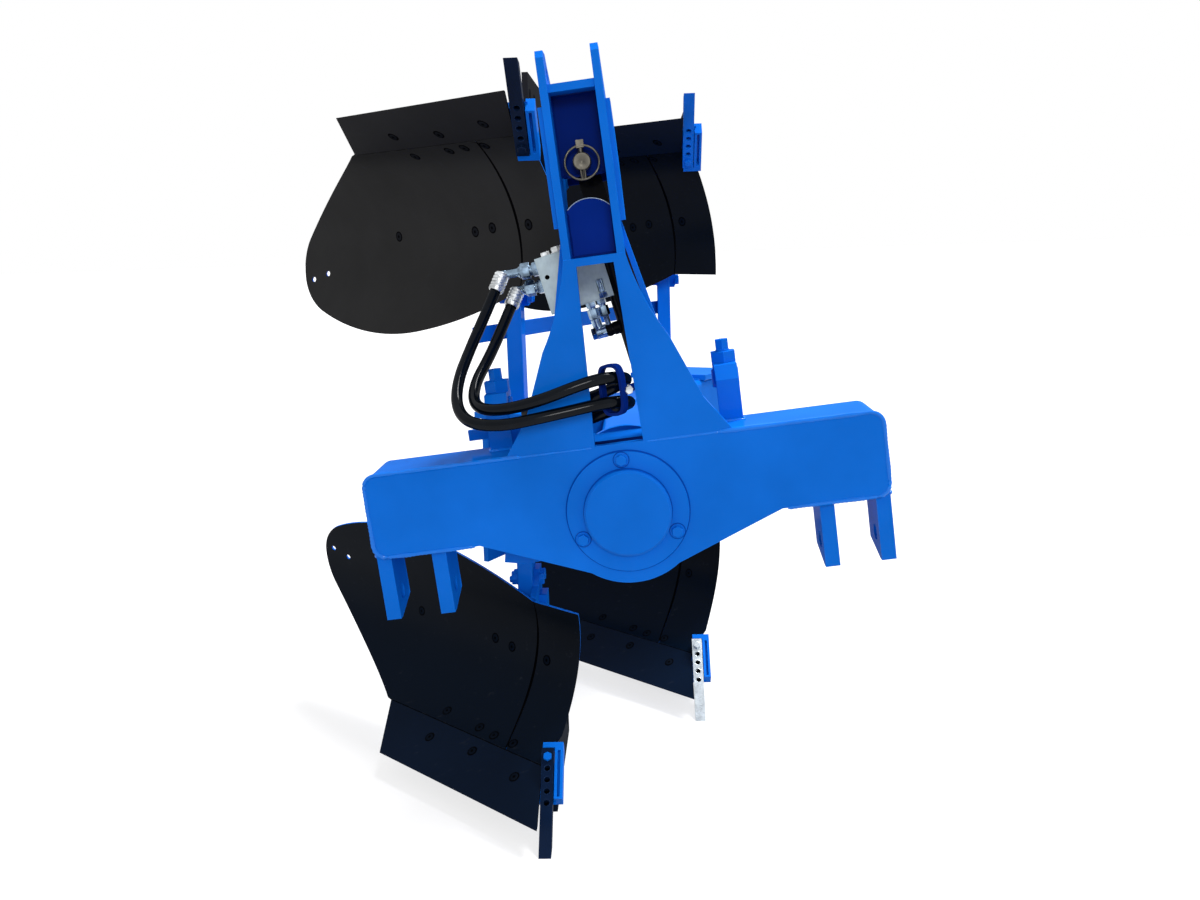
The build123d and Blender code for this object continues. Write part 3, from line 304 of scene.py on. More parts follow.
def rubber(name, color, rough, sheen, shine):
    """A hose's smooth cover or a moulded cap: faint cross ripples, a dusty sheen and a shine on top."""
    mat, tree, shader, coords = material(name, color, rough, coat=shine, coat_rough=0.14)
    shader.inputs["Specular IOR Level"].default_value = sheen
    dullness = clouds(tree, coords, 60, 4, (0.3, 0.7), (rough - 0.06, rough + 0.12))
    dust = clouds(tree, coords, 35, 5, (0.5, 0.75), (0.0, 0.5))
    dusty = mix(tree, dust, color, tuple(c * 2 + 0.002 for c in color))
    feed(tree, shader, Base_Color=dusty, Roughness=dullness)
    bump(tree, shader, [(add_noise(tree, coords, 140, 2), 0.05, 0.0004)], 0.0005)
    return mat


BLUE = (0.002, 0.133, 0.61)
# dark blue: on the hose ring, and painted shade on the tower's recessed plates and the welds among them
DARK_AND_RECESS_SHADE_BLUE = (0.0003, 0.013, 0.14)
NAVY_FOOT = (0.0010, 0.0046, 0.0125)
SCUFF = (0.03, 0.035, 0.045)
BLACK_BODY = ("front", "upper")  # a neutral black, where the other bodies lean to navy
PAINT = paint("blue_paint", BLUE)
DEEP = paint("dark_blue_and_recess_shade", DARK_AND_RECESS_SHADE_BLUE, shine=0.04)
# a lighter copy of the recess blue: painted light on the lower recessed plate
CROWN_LIT_BLUE = paint("crown_painted_light", (0.0004, 0.022, 0.23), shine=0.04)
# mid blue for painted shade round the bearing cover's edges and under its bolts
SEAM_SHADE_BLUE = paint("seam_shade_paint", (0.0006, 0.055, 0.36), 0.5, 0.0, 1.2)
# a lighter blue than the paint on the weld beads: painted highlight, with a glossier coat
WELD_HIGHLIGHT_BLUE = paint("weld_painted_highlight", (0.002, 0.155, 0.68), 0.16, 0.4, 1.6)
# near navy: painted shadow on the deck inside the tower's foot
DECK_SHADOW_BLUE = paint("deck_painted_shadow", (0.0003, 0.008, 0.075), 0.8, 0.0, 1.3)
# pale grey blue: a painted highlight along the lower recessed plate's arch
EDGE_GLINT = paint("painted_edge_glint", (0.42, 0.52, 0.62), 0.3, 0.3, 1.2)
BOARD_BLACK = working_paint("board_black", (0.019, 0.019, 0.0195), BLUE)
BOARD_NAVY = working_paint("board_navy", (0.0024, 0.0040, 0.0072), BLUE, NAVY_FOOT)
SHARE_BLACK = working_paint("share_black", (0.0135, 0.0135, 0.0155), (0.005, 0.006, 0.009))
SHARE_NAVY = working_paint("share_navy", (0.0016, 0.0055, 0.0155), (0.003, 0.007, 0.015))
BAR_BLUE = paint("bar_dark_paint", (0.003, 0.01, 0.032), 0.35, wear=4)
GLOSS_BLACK = paint("gloss_black", (0.004, 0.004, 0.005), 0.2)
# near black for painted shade in seams, gaps, holes and open ports
SHADE_BLACK = paint("painted_shade_black", (0.0006, 0.0006, 0.001), 0.8, 0.0, 1)
BOLT_BLACK = paint("bolt_black", (0.009, 0.010, 0.013), 0.4, 0.0, 2)
BOLT_NAVY = paint("bolt_navy", (0.003, 0.0055, 0.011), 0.4, 0.0, 2)
CHROME = metal("chrome_rod", (0.6, 0.6, 0.62), 0.1, scale=60)
# chrome with a blue tint and strong dark clouds: painted reflection of dark blue surroundings
CHROME_PAINTED_REFLECTION = metal("chrome_painted_reflection", (0.3, 0.42, 0.56), 0.2, scale=60, grime_and_reflection=0.28)
WHITE_ZINC = metal("white_plated", (0.72, 0.75, 0.77), 0.32, grime_and_reflection=0.5)
ZINC = metal("zinc_plate", (0.36, 0.41, 0.47), 0.28, grime_and_reflection=0.38)
DULL_STEEL = metal("dull_steel", (0.105, 0.098, 0.082), 0.42)
ALUMINIUM = metal("machined_aluminium", (0.29, 0.35, 0.38), 0.45, (1, 12, 1), 90, 0.86)
BRIGHT_STEEL = metal("bright_steel", (0.62, 0.68, 0.72), 0.3, (3, 3, 14), 60)
RUBBER = rubber("hose_rubber", (0.0010, 0.0024, 0.0050), 0.3, 0.0, 0.22)
CAP_PLASTIC = rubber("cap_plastic", (0.008, 0.008, 0.009), 0.4, 0.3, 0.0)

NODE_MATERIALS = {
    "valve_block": ALUMINIUM,
    "valve_fittings": ZINC,
    "hose_couplers": ZINC,
    "cylinder_barrel": GLOSS_BLACK,
    "cylinder_rod": CHROME,
    "cylinder_pin": DULL_STEEL,
    "crank_pin_middle": ZINC,
    "crank_pin_ends": ZINC,
    "turnover_shaft": ZINC,
    # painted shade of the recess on the recessed plates
    "tower_cross_plates": DEEP,
    "hose_ring": DEEP,
    "bar_point_front_upper": BAR_BLUE,
    "bar_point_front_lower": BAR_BLUE,
    "bar_point_rear_lower": BRIGHT_STEEL,
    "bar_point_rear_upper": PAINT,
}
for row in ROWS:
    for side in SIDES:
        black = (row, side) == BLACK_BODY
        for kind in ("mouldboard", "shin"):
            NODE_MATERIALS[f"{kind}_{row}_{side}"] = BOARD_BLACK if black else BOARD_NAVY
        for kind in ("share", "landside"):
            NODE_MATERIALS[f"{kind}_{row}_{side}"] = SHARE_BLACK if black else SHARE_NAVY
for name, node in frame["nodes"].items():
    look = NODE_MATERIALS.get(name, PAINT)
    node.data.materials.clear()
    node.data.materials.append(look)


# ------------------------ mesh helpers
WASHER = 0.0016  # a washer's thickness
RIPPLE = 0.0035  # length of a weld's ripple


def add_object(name, data):
    """An object in the scene, from a mesh, a curve, a camera or a lamp."""
    obj = bpy.data.objects.new(name, data)
    bpy.context.scene.collection.objects.link(obj)
    return obj


def add_mesh(name, bm, mat):
    """Turn a bmesh into an object with one material."""
    mesh = bpy.data.meshes.new(name)
    bm.to_mesh(mesh)
    bm.free()
    mesh.materials.append(mat)
    return add_object(name, mesh)


def piece(name, bm, mat, body, angle=35):
    """An object that rides on a body, smooth except at edges sharper than angle."""
    bmesh.ops.recalc_face_normals(bm, faces=bm.faces)
    for face in bm.faces:
        face.smooth = True
    for edge in bm.edges:
        edge.smooth = len(edge.link_faces) == 2 and edge.calc_face_angle(0) < math.radians(angle)
    obj = add_mesh(name, bm, mat)
    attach(obj, body)
    return obj


def circle(radius, count):
    """Points (x, y) on a circle."""
    angles = [2 * math.pi * k / count for k in range(count)]
    return [(radius * math.cos(a), radius * math.sin(a)) for a in angles]


def place(at, axis, turn=0.0):
    """Matrix that stands a shape made along +Z at a point, along an axis."""
    spin = Matrix.Rotation(turn, 4, "Z")
    return Matrix.Translation(at) @ Vector(axis).to_track_quat("Z", "Y").to_matrix().to_4x4() @ spin


def lathe(bm, profile, at, axis, sides=28, turn=0.0):
    """Turn a profile of (radius, height) about an axis. Radius 0 closes an end; 6 sides make a hexagon."""
    where = place(at, axis, turn)
    rings = []
    for radius, height in profile:
        if radius == 0:
            rings.append([bm.verts.new(where @ Vector((0, 0, height)))])
            continue
        rings.append([bm.verts.new(where @ Vector((x, y, height))) for x, y in circle(radius, sides)])
    for low, high in zip(rings, rings[1:]):
        for k in range(sides):
            n = (k + 1) % sides
            quad = (low[k % len(low)], low[n % len(low)], high[n % len(high)], high[k % len(high)])
            bm.faces.new(dict.fromkeys(quad))


def disc(bm, radius, height, at, axis, sides=28):
    """A flat round plate."""
    lathe(bm, [(0, 0), (radius, 0), (radius, height), (0, height)], at, axis, sides)


def hexagon(bm, at, axis, flats, height, turn=0.0, washer=0.0):
    """A hexagon head or nut with chamfered corners, on a washer of a given radius if asked."""
    if washer:
        disc(bm, washer, WASHER, at, axis)
        at = at + Vector(axis).normalized() * WASHER
    corner = flats / math.sqrt(3)
    chamfer = [(corner, height * 0.84), (corner * 0.9, height)]
    lathe(bm, [(0, 0), (corner, 0), *chamfer, (0, height)], at, axis, 6, turn)


def loft(bm, loops, closed=False):
    """Join loops of equally many points into a skin, capped at both ends unless it is closed."""
    rows = [[bm.verts.new(point) for point in loop] for loop in loops]
    pairs = list(zip(rows, rows[1:]))
    if closed:
        pairs.append((rows[-1], rows[0]))
    for low, high in pairs:
        for k in range(len(low)):
            n = (k + 1) % len(low)
            bm.faces.new((low[k], low[n], high[n], high[k]))
    if not closed:
        bm.faces.new(rows[0])
        bm.faces.new(rows[-1])


def tube(bm, points, radius, sides=8, closed=False):
    """A round tube along points, used for wires and weld beads; radius may be a list."""
    count = len(points)
    rings = []
    for k, point in enumerate(points):
        before = points[k - 1] if k or closed else points[k]
        after = points[(k + 1) % count] if k < count - 1 or closed else points[k]
        way = (after - before).normalized()
        side = way.cross(Z)
        side = way.cross(X) if side.length < 0.1 else side
        side.normalize()
        other = way.cross(side)
        r = radius[k] if isinstance(radius, list) else radius
        rings.append([point + side * x + other * y for x, y in circle(r, sides)])
    loft(bm, rings, closed)


def bead(bm, points, radius=0.003, seed=0.0):
    """A weld bead along points: overlapping ripples of a hand weld, a little uneven."""
    line = []
    for start, end in zip(points, points[1:]):
        steps = max(2, round((end - start).length / RIPPLE))
        line += [start.lerp(end, k / steps) for k in range(steps)]
    line.append(points[-1])
    sizes = []
    for k in range(len(line)):
        wobble = noise.noise(Vector((k * 0.13, seed, 0.5)))
        ripple = 0.1 if k % 2 else -0.04
        sizes.append(radius * (1 + ripple + 0.35 * wobble))
    sizes[0] = sizes[-1] = radius * 0.45
    tube(bm, line, sizes, 7)


def arc3(first, middle, last, count):
    """Points on the circle through three points of a plane, from the first to the last."""
    (ax, ay), (bx, by), (cx, cy) = first, middle, last
    d = 2 * (ax * (by - cy) + bx * (cy - ay) + cx * (ay - by))
    a2, b2, c2 = ax**2 + ay**2, bx**2 + by**2, cx**2 + cy**2
    ox = (a2 * (by - cy) + b2 * (cy - ay) + c2 * (ay - by)) / d
    oy = (a2 * (cx - bx) + b2 * (ax - cx) + c2 * (bx - ax)) / d
    radius = math.hypot(ax - ox, ay - oy)
    start = math.atan2(ay - oy, ax - ox)
    sweep = (math.atan2(cy - oy, cx - ox) - start + math.pi) % (2 * math.pi) - math.pi
    angles = [start + sweep * k / (count - 1) for k in range(count)]
    return [(ox + radius * math.cos(angle), oy + radius * math.sin(angle)) for angle in angles]


def ring_points(at, axis, radius, count):
    """Points on a circle about an axis."""
    where = place(at, axis)
    return [where @ Vector((x, y, 0)) for x, y in circle(radius, count)]


# ------------------------ hoses
HOSE = 0.020  # outside diameter
# centre lines as (u, v, x) in millimetres, from the ferrules at the valve to the parked couplers
HOSE_UPPER = [
    (-190, 392, -186), (-217, 345, -165), (-243, 298, -128), (-265, 250, -72), (-266, 210, -18),
    (-240, 186, 28), (-185, 179, 50), (-125, 184, 52), (-65, 189, 46), (-18, 193, 38),
    (16, 191, 24), (30, 184, -2), (16, 176, -28), (-15, 166, -40), (-52, 157, -44), (-88, 150, -46),
]
HOSE_LOWER = [
    (-166, 361, -186), (-190, 318, -165), (-213, 277, -128), (-236, 242, -78), (-238, 214, -30),
    (-214, 203, 14), (-165, 204, 40), (-110, 214, 50), (-62, 226, 48), (-20, 234, 42),
    (14, 232, 28), (29, 224, 2), (17, 213, -26), (-12, 202, -40), (-50, 192, -44), (-88, 186, -46),
]


def hose_curve(name, route):
    """The hose's centre line, a NURBS curve with the route's points as its control points."""
    curve = bpy.data.curves.new(name, "CURVE")
    curve.dimensions = "3D"
    spline = curve.splines.new("NURBS")
    spline.points.add(len(route) - 1)
    for at, (u, v, x) in zip(spline.points, route):
        at.co = (*head(u, v, x), 1)
    spline.order_u = 3
    spline.use_endpoint_u = True
    spline.resolution_u = 12
    return add_object(name, curve)


def hose(name, route):
    """A hose as a mesh tube on its NURBS line, between headstock and cylinder."""
    line = hose_curve(name + "_line", route)
    bpy.context.view_layer.update()
    smooth_line = line.evaluated_get(bpy.context.evaluated_depsgraph_get())
    samples = bpy.data.meshes.new_from_object(smooth_line)
    points = [vertex.co.copy() for vertex in samples.vertices]
    length = sum((b - a).length for a, b in zip(points, points[1:]))
    bpy.data.objects.remove(line)
    bm = bmesh.new()
    tube(bm, points, HOSE / 2, 24)
    bmesh.ops.recalc_face_normals(bm, faces=bm.faces)
    for face in bm.faces:
        face.smooth = len(face.verts) == 4
    obj = add_mesh(name, bm, RUBBER)
    return obj, points, length


HOSES = (("hose_upper", HOSE_UPPER, ["hose_couplers"]), ("hose_lower", HOSE_LOWER, ["coupler_rack"]))
for name, route, ends in HOSES:
    obj, points, length = hose(name + "_rubber", route)
    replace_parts(obj, name)
    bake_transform(obj)

# ------------------------ headstock: bearing cover and welds
# sizes of the headstock in mm, as head() takes them; a lathe's rows are (radius, height) in metres
COVER_BOLTS = (90, -29, 205)  # their angles round the cover
COVER_RING = 90  # radius of their circle
COVER_FACE = 6  # the cover's face, before the front plate
BEAM_HALF = 442  # half length of the front plate, then its top, foot and corner radius
BEAM_TOP = 115
BEAM_FOOT = -29
BEAM_ROUND = 22
TOWER_FOOT = 168  # where the tower's sides run into the plate's top
BELLY_END = 268  # where the plate's straight foot turns into the belly
LUG_FACES = (324, 349, 420, 445)
STAY_FACES = (124, 134)
BRACKETS = (-210, 198)  # middles of the stop brackets, and half their width
BRACKET_HALF = 20
RACK_AT = -118  # middle of the coupler rack's foot


def cover_spot(angle):
    """A cover bolt's place, with its angle in radians."""
    way = math.radians(angle)
    return head(COVER_RING * math.cos(way), COVER_RING * math.sin(way), COVER_FACE), way


bm = bmesh.new()
for angle in COVER_BOLTS:
    at, way = cover_spot(angle)
    hexagon(bm, at, X, 0.018, 0.0085, way, washer=0.0125)
piece("cover_bolts", bm, PAINT, "headstock")

# painted shade: thin darker rings under the cover bolts and round the cover's two edges
bm = bmesh.new()
for angle in COVER_BOLTS:
    lathe(bm, [(0, 0), (0.0142, 0), (0.0138, 0.0005), (0, 0.0005)], cover_spot(angle)[0], X)
lathe(bm, [(0.1034, 0), (0.1058, 0), (0.1058, 0.0007), (0.1034, 0.0012)], head(0, 0), X, 96)
lathe(bm, [(0.0738, 0), (0.0756, 0), (0.0756, 0.0006), (0.0738, 0.001)], head(0, 0, COVER_FACE), X, 72)
piece("cover_seam_shade", bm, SEAM_SHADE_BLUE, "headstock")

bm = bmesh.new()
bend_u = BEAM_HALF - BEAM_ROUND
high_v = BEAM_TOP - BEAM_ROUND
low_v = BEAM_FOOT + BEAM_ROUND
eighths = [k * math.pi / 8 for k in range(5)]
for side in (-1, 1):
    corner = [(bend_u + BEAM_ROUND * math.sin(a), high_v + BEAM_ROUND * math.cos(a)) for a in eighths]
    low = [(BEAM_HALF, 20), (BEAM_HALF, low_v)]
    low += [(bend_u + BEAM_ROUND * math.cos(a), low_v - BEAM_ROUND * math.sin(a)) for a in eighths[1:]]
    top = [(TOWER_FOOT, BEAM_TOP + 0.5)]
    for number, outline in enumerate((top + corner + low, low[-1:] + [(BELLY_END, BEAM_FOOT)])):
        bead(bm, [head(side * u, v, -1.5) for u, v in outline], 0.0038, 3.1 * side + number)
    bead(bm, [head(side * u, BEAM_TOP, -1.2) for u in (46, 90, 130, 171)], 0.0021, 9.4 * side)
    for u in LUG_FACES:
        bead(bm, [head(side * u * 0.9985, BEAM_FOOT - 1, x) for x in (-22, -116)], 0.0042, u * side)
    for u in STAY_FACES:
        bead(bm, [head(side * u, BEAM_TOP, x) for x in (-74, -120)], 0.0035, u * side)
for u in BRACKETS:
    for edge in (-BRACKET_HALF, BRACKET_HALF):
        bead(bm, [head(u + edge, BEAM_TOP, x) for x in (-97, -112)], 0.0042, u + edge)
    for x in (-97, -111):
        bead(bm, [head(u + edge, BEAM_TOP, x) for edge in (-BRACKET_HALF, BRACKET_HALF)], 0.0042, u + x)
for edge in (-3, 3):
    bead(bm, [head(RACK_AT + edge, BEAM_TOP, x) for x in (-26, -66)], 0.0032, edge)
# the beads are in the lighter weld blue, a painted highlight
piece("headstock_welds", bm, WELD_HIGHLIGHT_BLUE, "headstock", 50)

# welds inside the recess, in the same dark blue as its plates: painted shade of the recess
RECESS_FACE = -60  # the recessed plates' faces
RECESS_HALF = 38
PLATE_SPANS = ((432, 505), (566, 694))  # heights of the lower and the upper plate
RECESS_FOOT = 417
bm = bmesh.new()
for side in (-1, 1):
    for low, high in PLATE_SPANS:
        bead(bm, [head(side * RECESS_HALF, v, RECESS_FACE) for v in (low, high)], 0.0028, side + low)
    bead(bm, [head(side * RECESS_HALF, RECESS_FOOT, x) for x in (RECESS_FACE + 4, -18)], 0.003, side + 3)
for v in (431, 564, 696):
    bead(bm, [head(u, v, RECESS_FACE) for u in (-36, 36)], 0.0026, v)
piece("recess_welds", bm, DEEP, "headstock", 50)

# the lower recessed plate: a lighter blue sheet on its face as painted light, and a painted highlight along its
# arched edge
CROWN = arc3((-RECESS_HALF, 508), (0, 526), (RECESS_HALF, 508), 24)
CROWN_HALF = 37.5
bm = bmesh.new()
outline = [(CROWN_HALF, 431), (-CROWN_HALF, 431)]
outline += [(max(-CROWN_HALF, min(CROWN_HALF, u)), v - 0.6) for u, v in CROWN]
loft(bm, [[head(u, v, RECESS_FACE + x) for u, v in outline] for x in (-1.0, 0.5)])
piece("crown_plate_lit_face", bm, CROWN_LIT_BLUE, "headstock", 20)
bm = bmesh.new()
# painted highlight: a thin pale tube along the arch
tube(bm, [head(u, v - 0.4, RECESS_FACE + 0.3) for u, v in CROWN[1:-1]], 0.0008, 8)
piece("crown_plate_edge", bm, EDGE_GLINT, "headstock", 60)

# a dark sheet on the deck inside the tower's foot: painted shadow
DECK = ((-44, 114), (44, 114), (43, 115.8), (-43, 115.8))
bm = bmesh.new()
loft(bm, [[head(u, v, x) for u, v in DECK] for x in (-2.7, -30, -54)])
piece("tower_foot_deck_shadow", bm, DECK_SHADOW_BLUE, "headstock", 20)

# ------------------------ headstock: tower pin with its linch pin
CORNERS = ((-1, -1), (1, -1), (1, 1), (-1, 1))  # of a bar's square section
bm = bmesh.new()
lathe(bm, [(0, 0), (0.0149, 0), (0.0136, 0.0014), (0.004, 0.0016), (0.0026, 0.0007), (0, 0.0007)],
      head(0, 585, -38), X, 40)
shank = [(0, -0.001), (0.0045, -0.001), (0.0045, 0.052), (0.003, 0.055), (0, 0.055)]
lathe(bm, shank, head(0, 610, -46), -V, 16)
tab = head(0, 611, -44.5)
loft(bm, [[tab + U * (0.0065 * a) + X * (0.0045 * b) + V * c for a, b in CORNERS]
          for c in (-0.004, 0.0, 0.006, 0.009)])
tilt = (X + V * 0.22).normalized()
tube(bm, ring_points(head(0, 583, -36), tilt, 0.0285, 56), 0.0021, 10, closed=True)
for u in (-3.4, 3.4):
    tube(bm, [head(u, 571, -34), head(u, 563, -31), head(u * 0.8, 555, -30)], 0.0019, 8)
piece("tower_pin_end", bm, DULL_STEEL, "headstock")

# ------------------------ headstock: hose ring with its bolt, couplers with their caps
# the ring stands turned by 60 degrees: the hoses pass in front of its inner limb and behind the outer
RING_AT = head(3, 212, 28.5)
RING_WAY = X * 0.5 + U * 0.866
RING_FACE = RING_WAY.cross(V)
RING_DEEP = 0.0075  # half the band's depth
RING_SECTION = (  # half width, half height and side of the band's four corners
    (0.0172, 0.0377, -1), (0.0222, 0.0427, -1), (0.0222, 0.0427, 1), (0.0172, 0.0377, 1),
)
SQUARENESS = 0.55  # 1 makes the ring an ellipse, less squares it


def squared(t):
    """A sine or cosine, pushed out towards a square's side."""
    return math.copysign(abs(t) ** SQUARENESS, t)


bm = bmesh.new()
loops = []
for a, b in circle(1, 48):
    a, b = squared(a), squared(b)
    loops.append([RING_AT + RING_WAY * (a * wide) + V * (b * tall) + RING_FACE * (RING_DEEP * side)
                  for wide, tall, side in RING_SECTION])
loft(bm, loops, closed=True)
path = [RING_AT + RING_WAY * 0.020, head(30, 210, 22), head(34, 209, 6), head(38, 209, -8)]
strap_way = X * 0.5 - U * 0.866
loft(bm, [[at + V * (0.006 * a) + strap_way * (0.0022 * b) for a, b in CORNERS] for at in path])
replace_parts(piece("hose_ring_bent", bm, DEEP, "headstock"), "hose_ring")
bm = bmesh.new()
hexagon(bm, head(27, 209, 27), X * 0.9 + U * 0.3, 0.013, 0.008, 0.3, washer=0.008)
piece("hose_ring_bolt", bm, WHITE_ZINC, "headstock")

# a coupler along its own line: sleeve, grip, and the nose under its dust cap
SLEEVE = [(0.0105, -0.004), (0.0135, -0.003), (0.0135, 0.014), (0.0115, 0.016), (0.0115, 0.02)]
GRIP = [(0.0145, 0.021), (0.0145, 0.023), (0.0138, 0.0235), (0.0138, 0.0255), (0.0145, 0.026),
        (0.0145, 0.0285)]
NOSE = [(0.0115, 0.045), (0.0135, 0.047), (0.0135, 0.058), (0.0105, 0.062), (0.006, 0.066), (0, 0.067)]
CAP = [(0.0142, 0.049), (0.0158, 0.05), (0.0158, 0.068), (0.0145, 0.0715), (0, 0.072)]
bm = bmesh.new()
caps = bmesh.new()
for v in (150, 186):
    start = head(-88, v, -46)
    lathe(bm, SLEEVE + GRIP, start, -U, 32)
    hexagon(bm, start - U * 0.034, -U, 0.027, 0.012)
    lathe(bm, NOSE, start, -U, 32)
    lathe(caps, CAP, start, -U, 32)
    tether = ring_points(start - U * 0.055, X * 0.6 + V * 0.2 + U * 0.1, 0.0165, 20)
    tube(caps, tether, 0.0012, 6, closed=True)
piece("coupler_details", bm, ZINC, "headstock")
piece("coupler_caps", caps, CAP_PLASTIC, "headstock")

# ------------------------ cylinder: valve, its fittings, barrel
# places in mm, as lean() takes them
PLATE_X = 26  # outer face of the valve's plates
UNIONS_FROM = 229  # where the unions leave the block's foot
bm = bmesh.new()
hexagon(bm, lean(-95, 127, 2), -DOWN, 0.019, 0.009, 0.2, washer=0.012)
hexagon(bm, lean(-118, 127, -12), -DOWN, 0.014, 0.007, 0.5)
for a, b in ((-127, 137), (-127, 221), (-44, 219), (-92, 137)):
    lathe(bm, [(0.0058, 0), (0.0058, 0.0022), (0.005, 0.003), (0.0032, 0.003), (0.003, 0.0012), (0, 0.0012)],
          lean(a, b, -PLATE_X), -X, 24)
piece("valve_screws", bm, WHITE_ZINC, "cylinder_barrel")

# black discs on the valve's two open ports: painted shade of the holes
bm = bmesh.new()
for at, way in ((lean(-124, 164, PLATE_X + 0.4), X), (lean(-100, 178, -PLATE_X - 0.4), -X)):
    disc(bm, 0.0042, 0.0003, at, way, 20)
piece("valve_port_shade", bm, SHADE_BLACK, "cylinder_barrel")

bm = bmesh.new()
outline = [(-135, 129), (-85, 129), (-24, 166), (-24, 228), (-135, 228)]
for x, way in ((25, 1), (-25, -1)):
    loft(bm, [[lean(a, b, x + way * c) for a, b in outline] for c in (-1.0, 1.4)])
piece("valve_plates", bm, ALUMINIUM, "cylinder_barrel", 20)

plated = bmesh.new()
white = bmesh.new()
for down, route in ((145, HOSE_UPPER), (177, HOSE_LOWER)):
    port = lean(-137, down)
    outer, beyond = head(*route[0]), head(*route[1])
    back = (outer - beyond).normalized()
    inner = outer + back * 0.030
    way = (inner - port).normalized()
    far = (inner - port).length
    hexagon(plated, port - way * 0.002, way, 0.024, 0.0125, 0.15)
    lathe(plated, [(0.0095, 0.009), (0.0095, 0.018)], port, way, 24)
    hexagon(plated, port + way * 0.0155, way, 0.026, 0.0165, 0.4)
    lathe(plated, [(0.0115, 0.03), (0.0115, 0.034), (0.0085, 0.037), (0.0078, 0.04), (0.0078, far - 0.006)],
          port, way, 24)
    bend = [port + way * (far - 0.007), inner.lerp(port, 0.04), inner - back * 0.004, inner - back * 0.009]
    tube(plated, bend, [0.0078, 0.0088, 0.0088, 0.0085], 20)
    # a crimped ferrule: four grooves round a sleeve
    profile = [(0.0085, 0.0), (0.0125, 0.0015), (0.0138, 0.004)]
    for k in range(4):
        at = 0.0055 + 0.0062 * k
        profile += [(0.0138, at), (0.0128, at + 0.0012), (0.0128, at + 0.003), (0.0138, at + 0.0042)]
    profile += [(0.0138, 0.0335), (0.0126, 0.036), (0.0102, 0.0362)]
    lathe(white, profile, inner + back * 0.003, -back, 36)
plated_piece = piece("valve_fittings_plated", plated, CHROME_PAINTED_REFLECTION, "cylinder_barrel")
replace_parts(plated_piece, "valve_fittings")
piece("hose_ferrules", white, WHITE_ZINC, "cylinder_barrel")

# below the block: cartridge, two unions, an elbow and the black banjo on the barrel
bm = bmesh.new()
cartridge = [(0, 0), (0.0058, 0.0004), (0.0062, 0.002), (0.0062, 0.022), (0.0048, 0.023), (0.0048, 0.03),
             (0, 0.03)]
lathe(bm, cartridge, lean(-38, 195, 31), DOWN, 28)
hexagon(bm, lean(-38, 219, 31), DOWN, 0.0145, 0.009)
for a, x, flats in ((-66, 2, 0.0165), (-46, 6, 0.0145)):
    start = lean(a, UNIONS_FROM, x)
    hexagon(bm, start, DOWN, flats, 0.011, 0.2)
    lathe(bm, [(flats * 0.42, 0.009), (flats * 0.42, 0.016)], start, DOWN, 20)
    hexagon(bm, lean(a, 243, x), DOWN, flats + 0.0015, 0.018, 0.5)
    lathe(bm, [(flats * 0.45, 0.03), (flats * 0.36, 0.034), (flats * 0.36, 0.05)], start, DOWN, 20)
piece("cylinder_unions", bm, CHROME_PAINTED_REFLECTION, "cylinder_barrel")

bm = bmesh.new()
ELBOW = ((-66, 262), (-66, 272), (-65, 280), (-60, 285), (-52, 287))
tube(bm, [lean(a, down, 2) for a, down in ELBOW], 0.0092, 20)
hexagon(bm, lean(-80, 287, 2), ACROSS, 0.02, 0.01)
lathe(bm, [(0.0085, 0.0), (0.0115, 0.001), (0.0115, 0.019), (0.0085, 0.021)], lean(-72, 287, 2), ACROSS, 24)
hexagon(bm, lean(-60, 287, 2), ACROSS, 0.021, 0.0085, 0.3)
piece("cylinder_elbow", bm, CHROME_PAINTED_REFLECTION, "cylinder_barrel")

bm = bmesh.new()
banjo = [(0, 0), (0.0105, 0), (0.0118, 0.0015), (0.0118, 0.008), (0.0105, 0.0095), (0.0105, 0.012),
         (0.0118, 0.0135), (0.0118, 0.028), (0, 0.028)]
lathe(bm, banjo, lean(-52, 288, 2), ACROSS, 28)
tube(bm, [lean(-46, 278, 8), lean(-46, 284, 8), lean(-42, 289, 8), lean(-32, 290, 8)], 0.0052, 14)
tube(bm, ring_points(lean(0, 70.5), DOWN, 0.0295, 48), 0.0022, 8, closed=True)
tube(bm, ring_points(lean(0, 426.5), DOWN, 0.0285, 48), 0.0014, 8, closed=True)
for side in (-1, 1):
    bead(bm, [lean(-20, 69, side * 19.5), lean(20, 69, side * 19.5)], 0.003, side)
    bead(bm, [lean(side * 20, 69, -19), lean(side * 20, 69, 19)], 0.003, side + 5)
piece("barrel_details", bm, GLOSS_BLACK, "cylinder_barrel")

NIPPLE = [(0.0028, 0.003), (0.0028, 0.006), (0.0018, 0.007), (0.0026, 0.009), (0.0018, 0.0105), (0, 0.011)]
bm = bmesh.new()
for spot, way in ((lean(-15, -20.5, 8), -DOWN - ACROSS * 0.7), (lean(24.5, 7, 8), ACROSS)):
    hexagon(bm, spot, way, 0.008, 0.004)
    lathe(bm, NIPPLE, spot, way.normalized(), 16)
piece("barrel_nipples", bm, WHITE_ZINC, "cylinder_barrel")

# ------------------------ frame: clamp and leg bolts, welds, crank pin
Y = Vector((0, 1, 0))
along = tip("rear") - tip("front")
along.z = 0
along.normalize()
aside = Vector((-abs(along.y), -abs(along.x), 0))  # from the main beam out to the legs
CLAMP_HALF = 0.074  # height of a clamp plate's outer face from the axis
CLAMP_BOLTS = (0.064, 0.051)  # from the leg's middle, along and aside
BEAM_SIDE = 0.096  # from the leg's middle to the main beam's
TUBE_SEAM = 0.0605  # half the square tube, where its welds lie
FROG_BOLTS = (0.205, 0.300, 0.452)  # their heights
SINGLE_BOLT = 0.300  # the height that has one bolt only
FROG_THICK = 0.014
FAR_FACE = 0.156  # from the leg's middle to the main beam's far face


def leg_middle(row):
    """Middle of a leg, at the height of the turnover axis."""
    low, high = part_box(f"leg_{row}")
    middle = (low + high) / 2
    middle.z = AXIS.z
    return middle


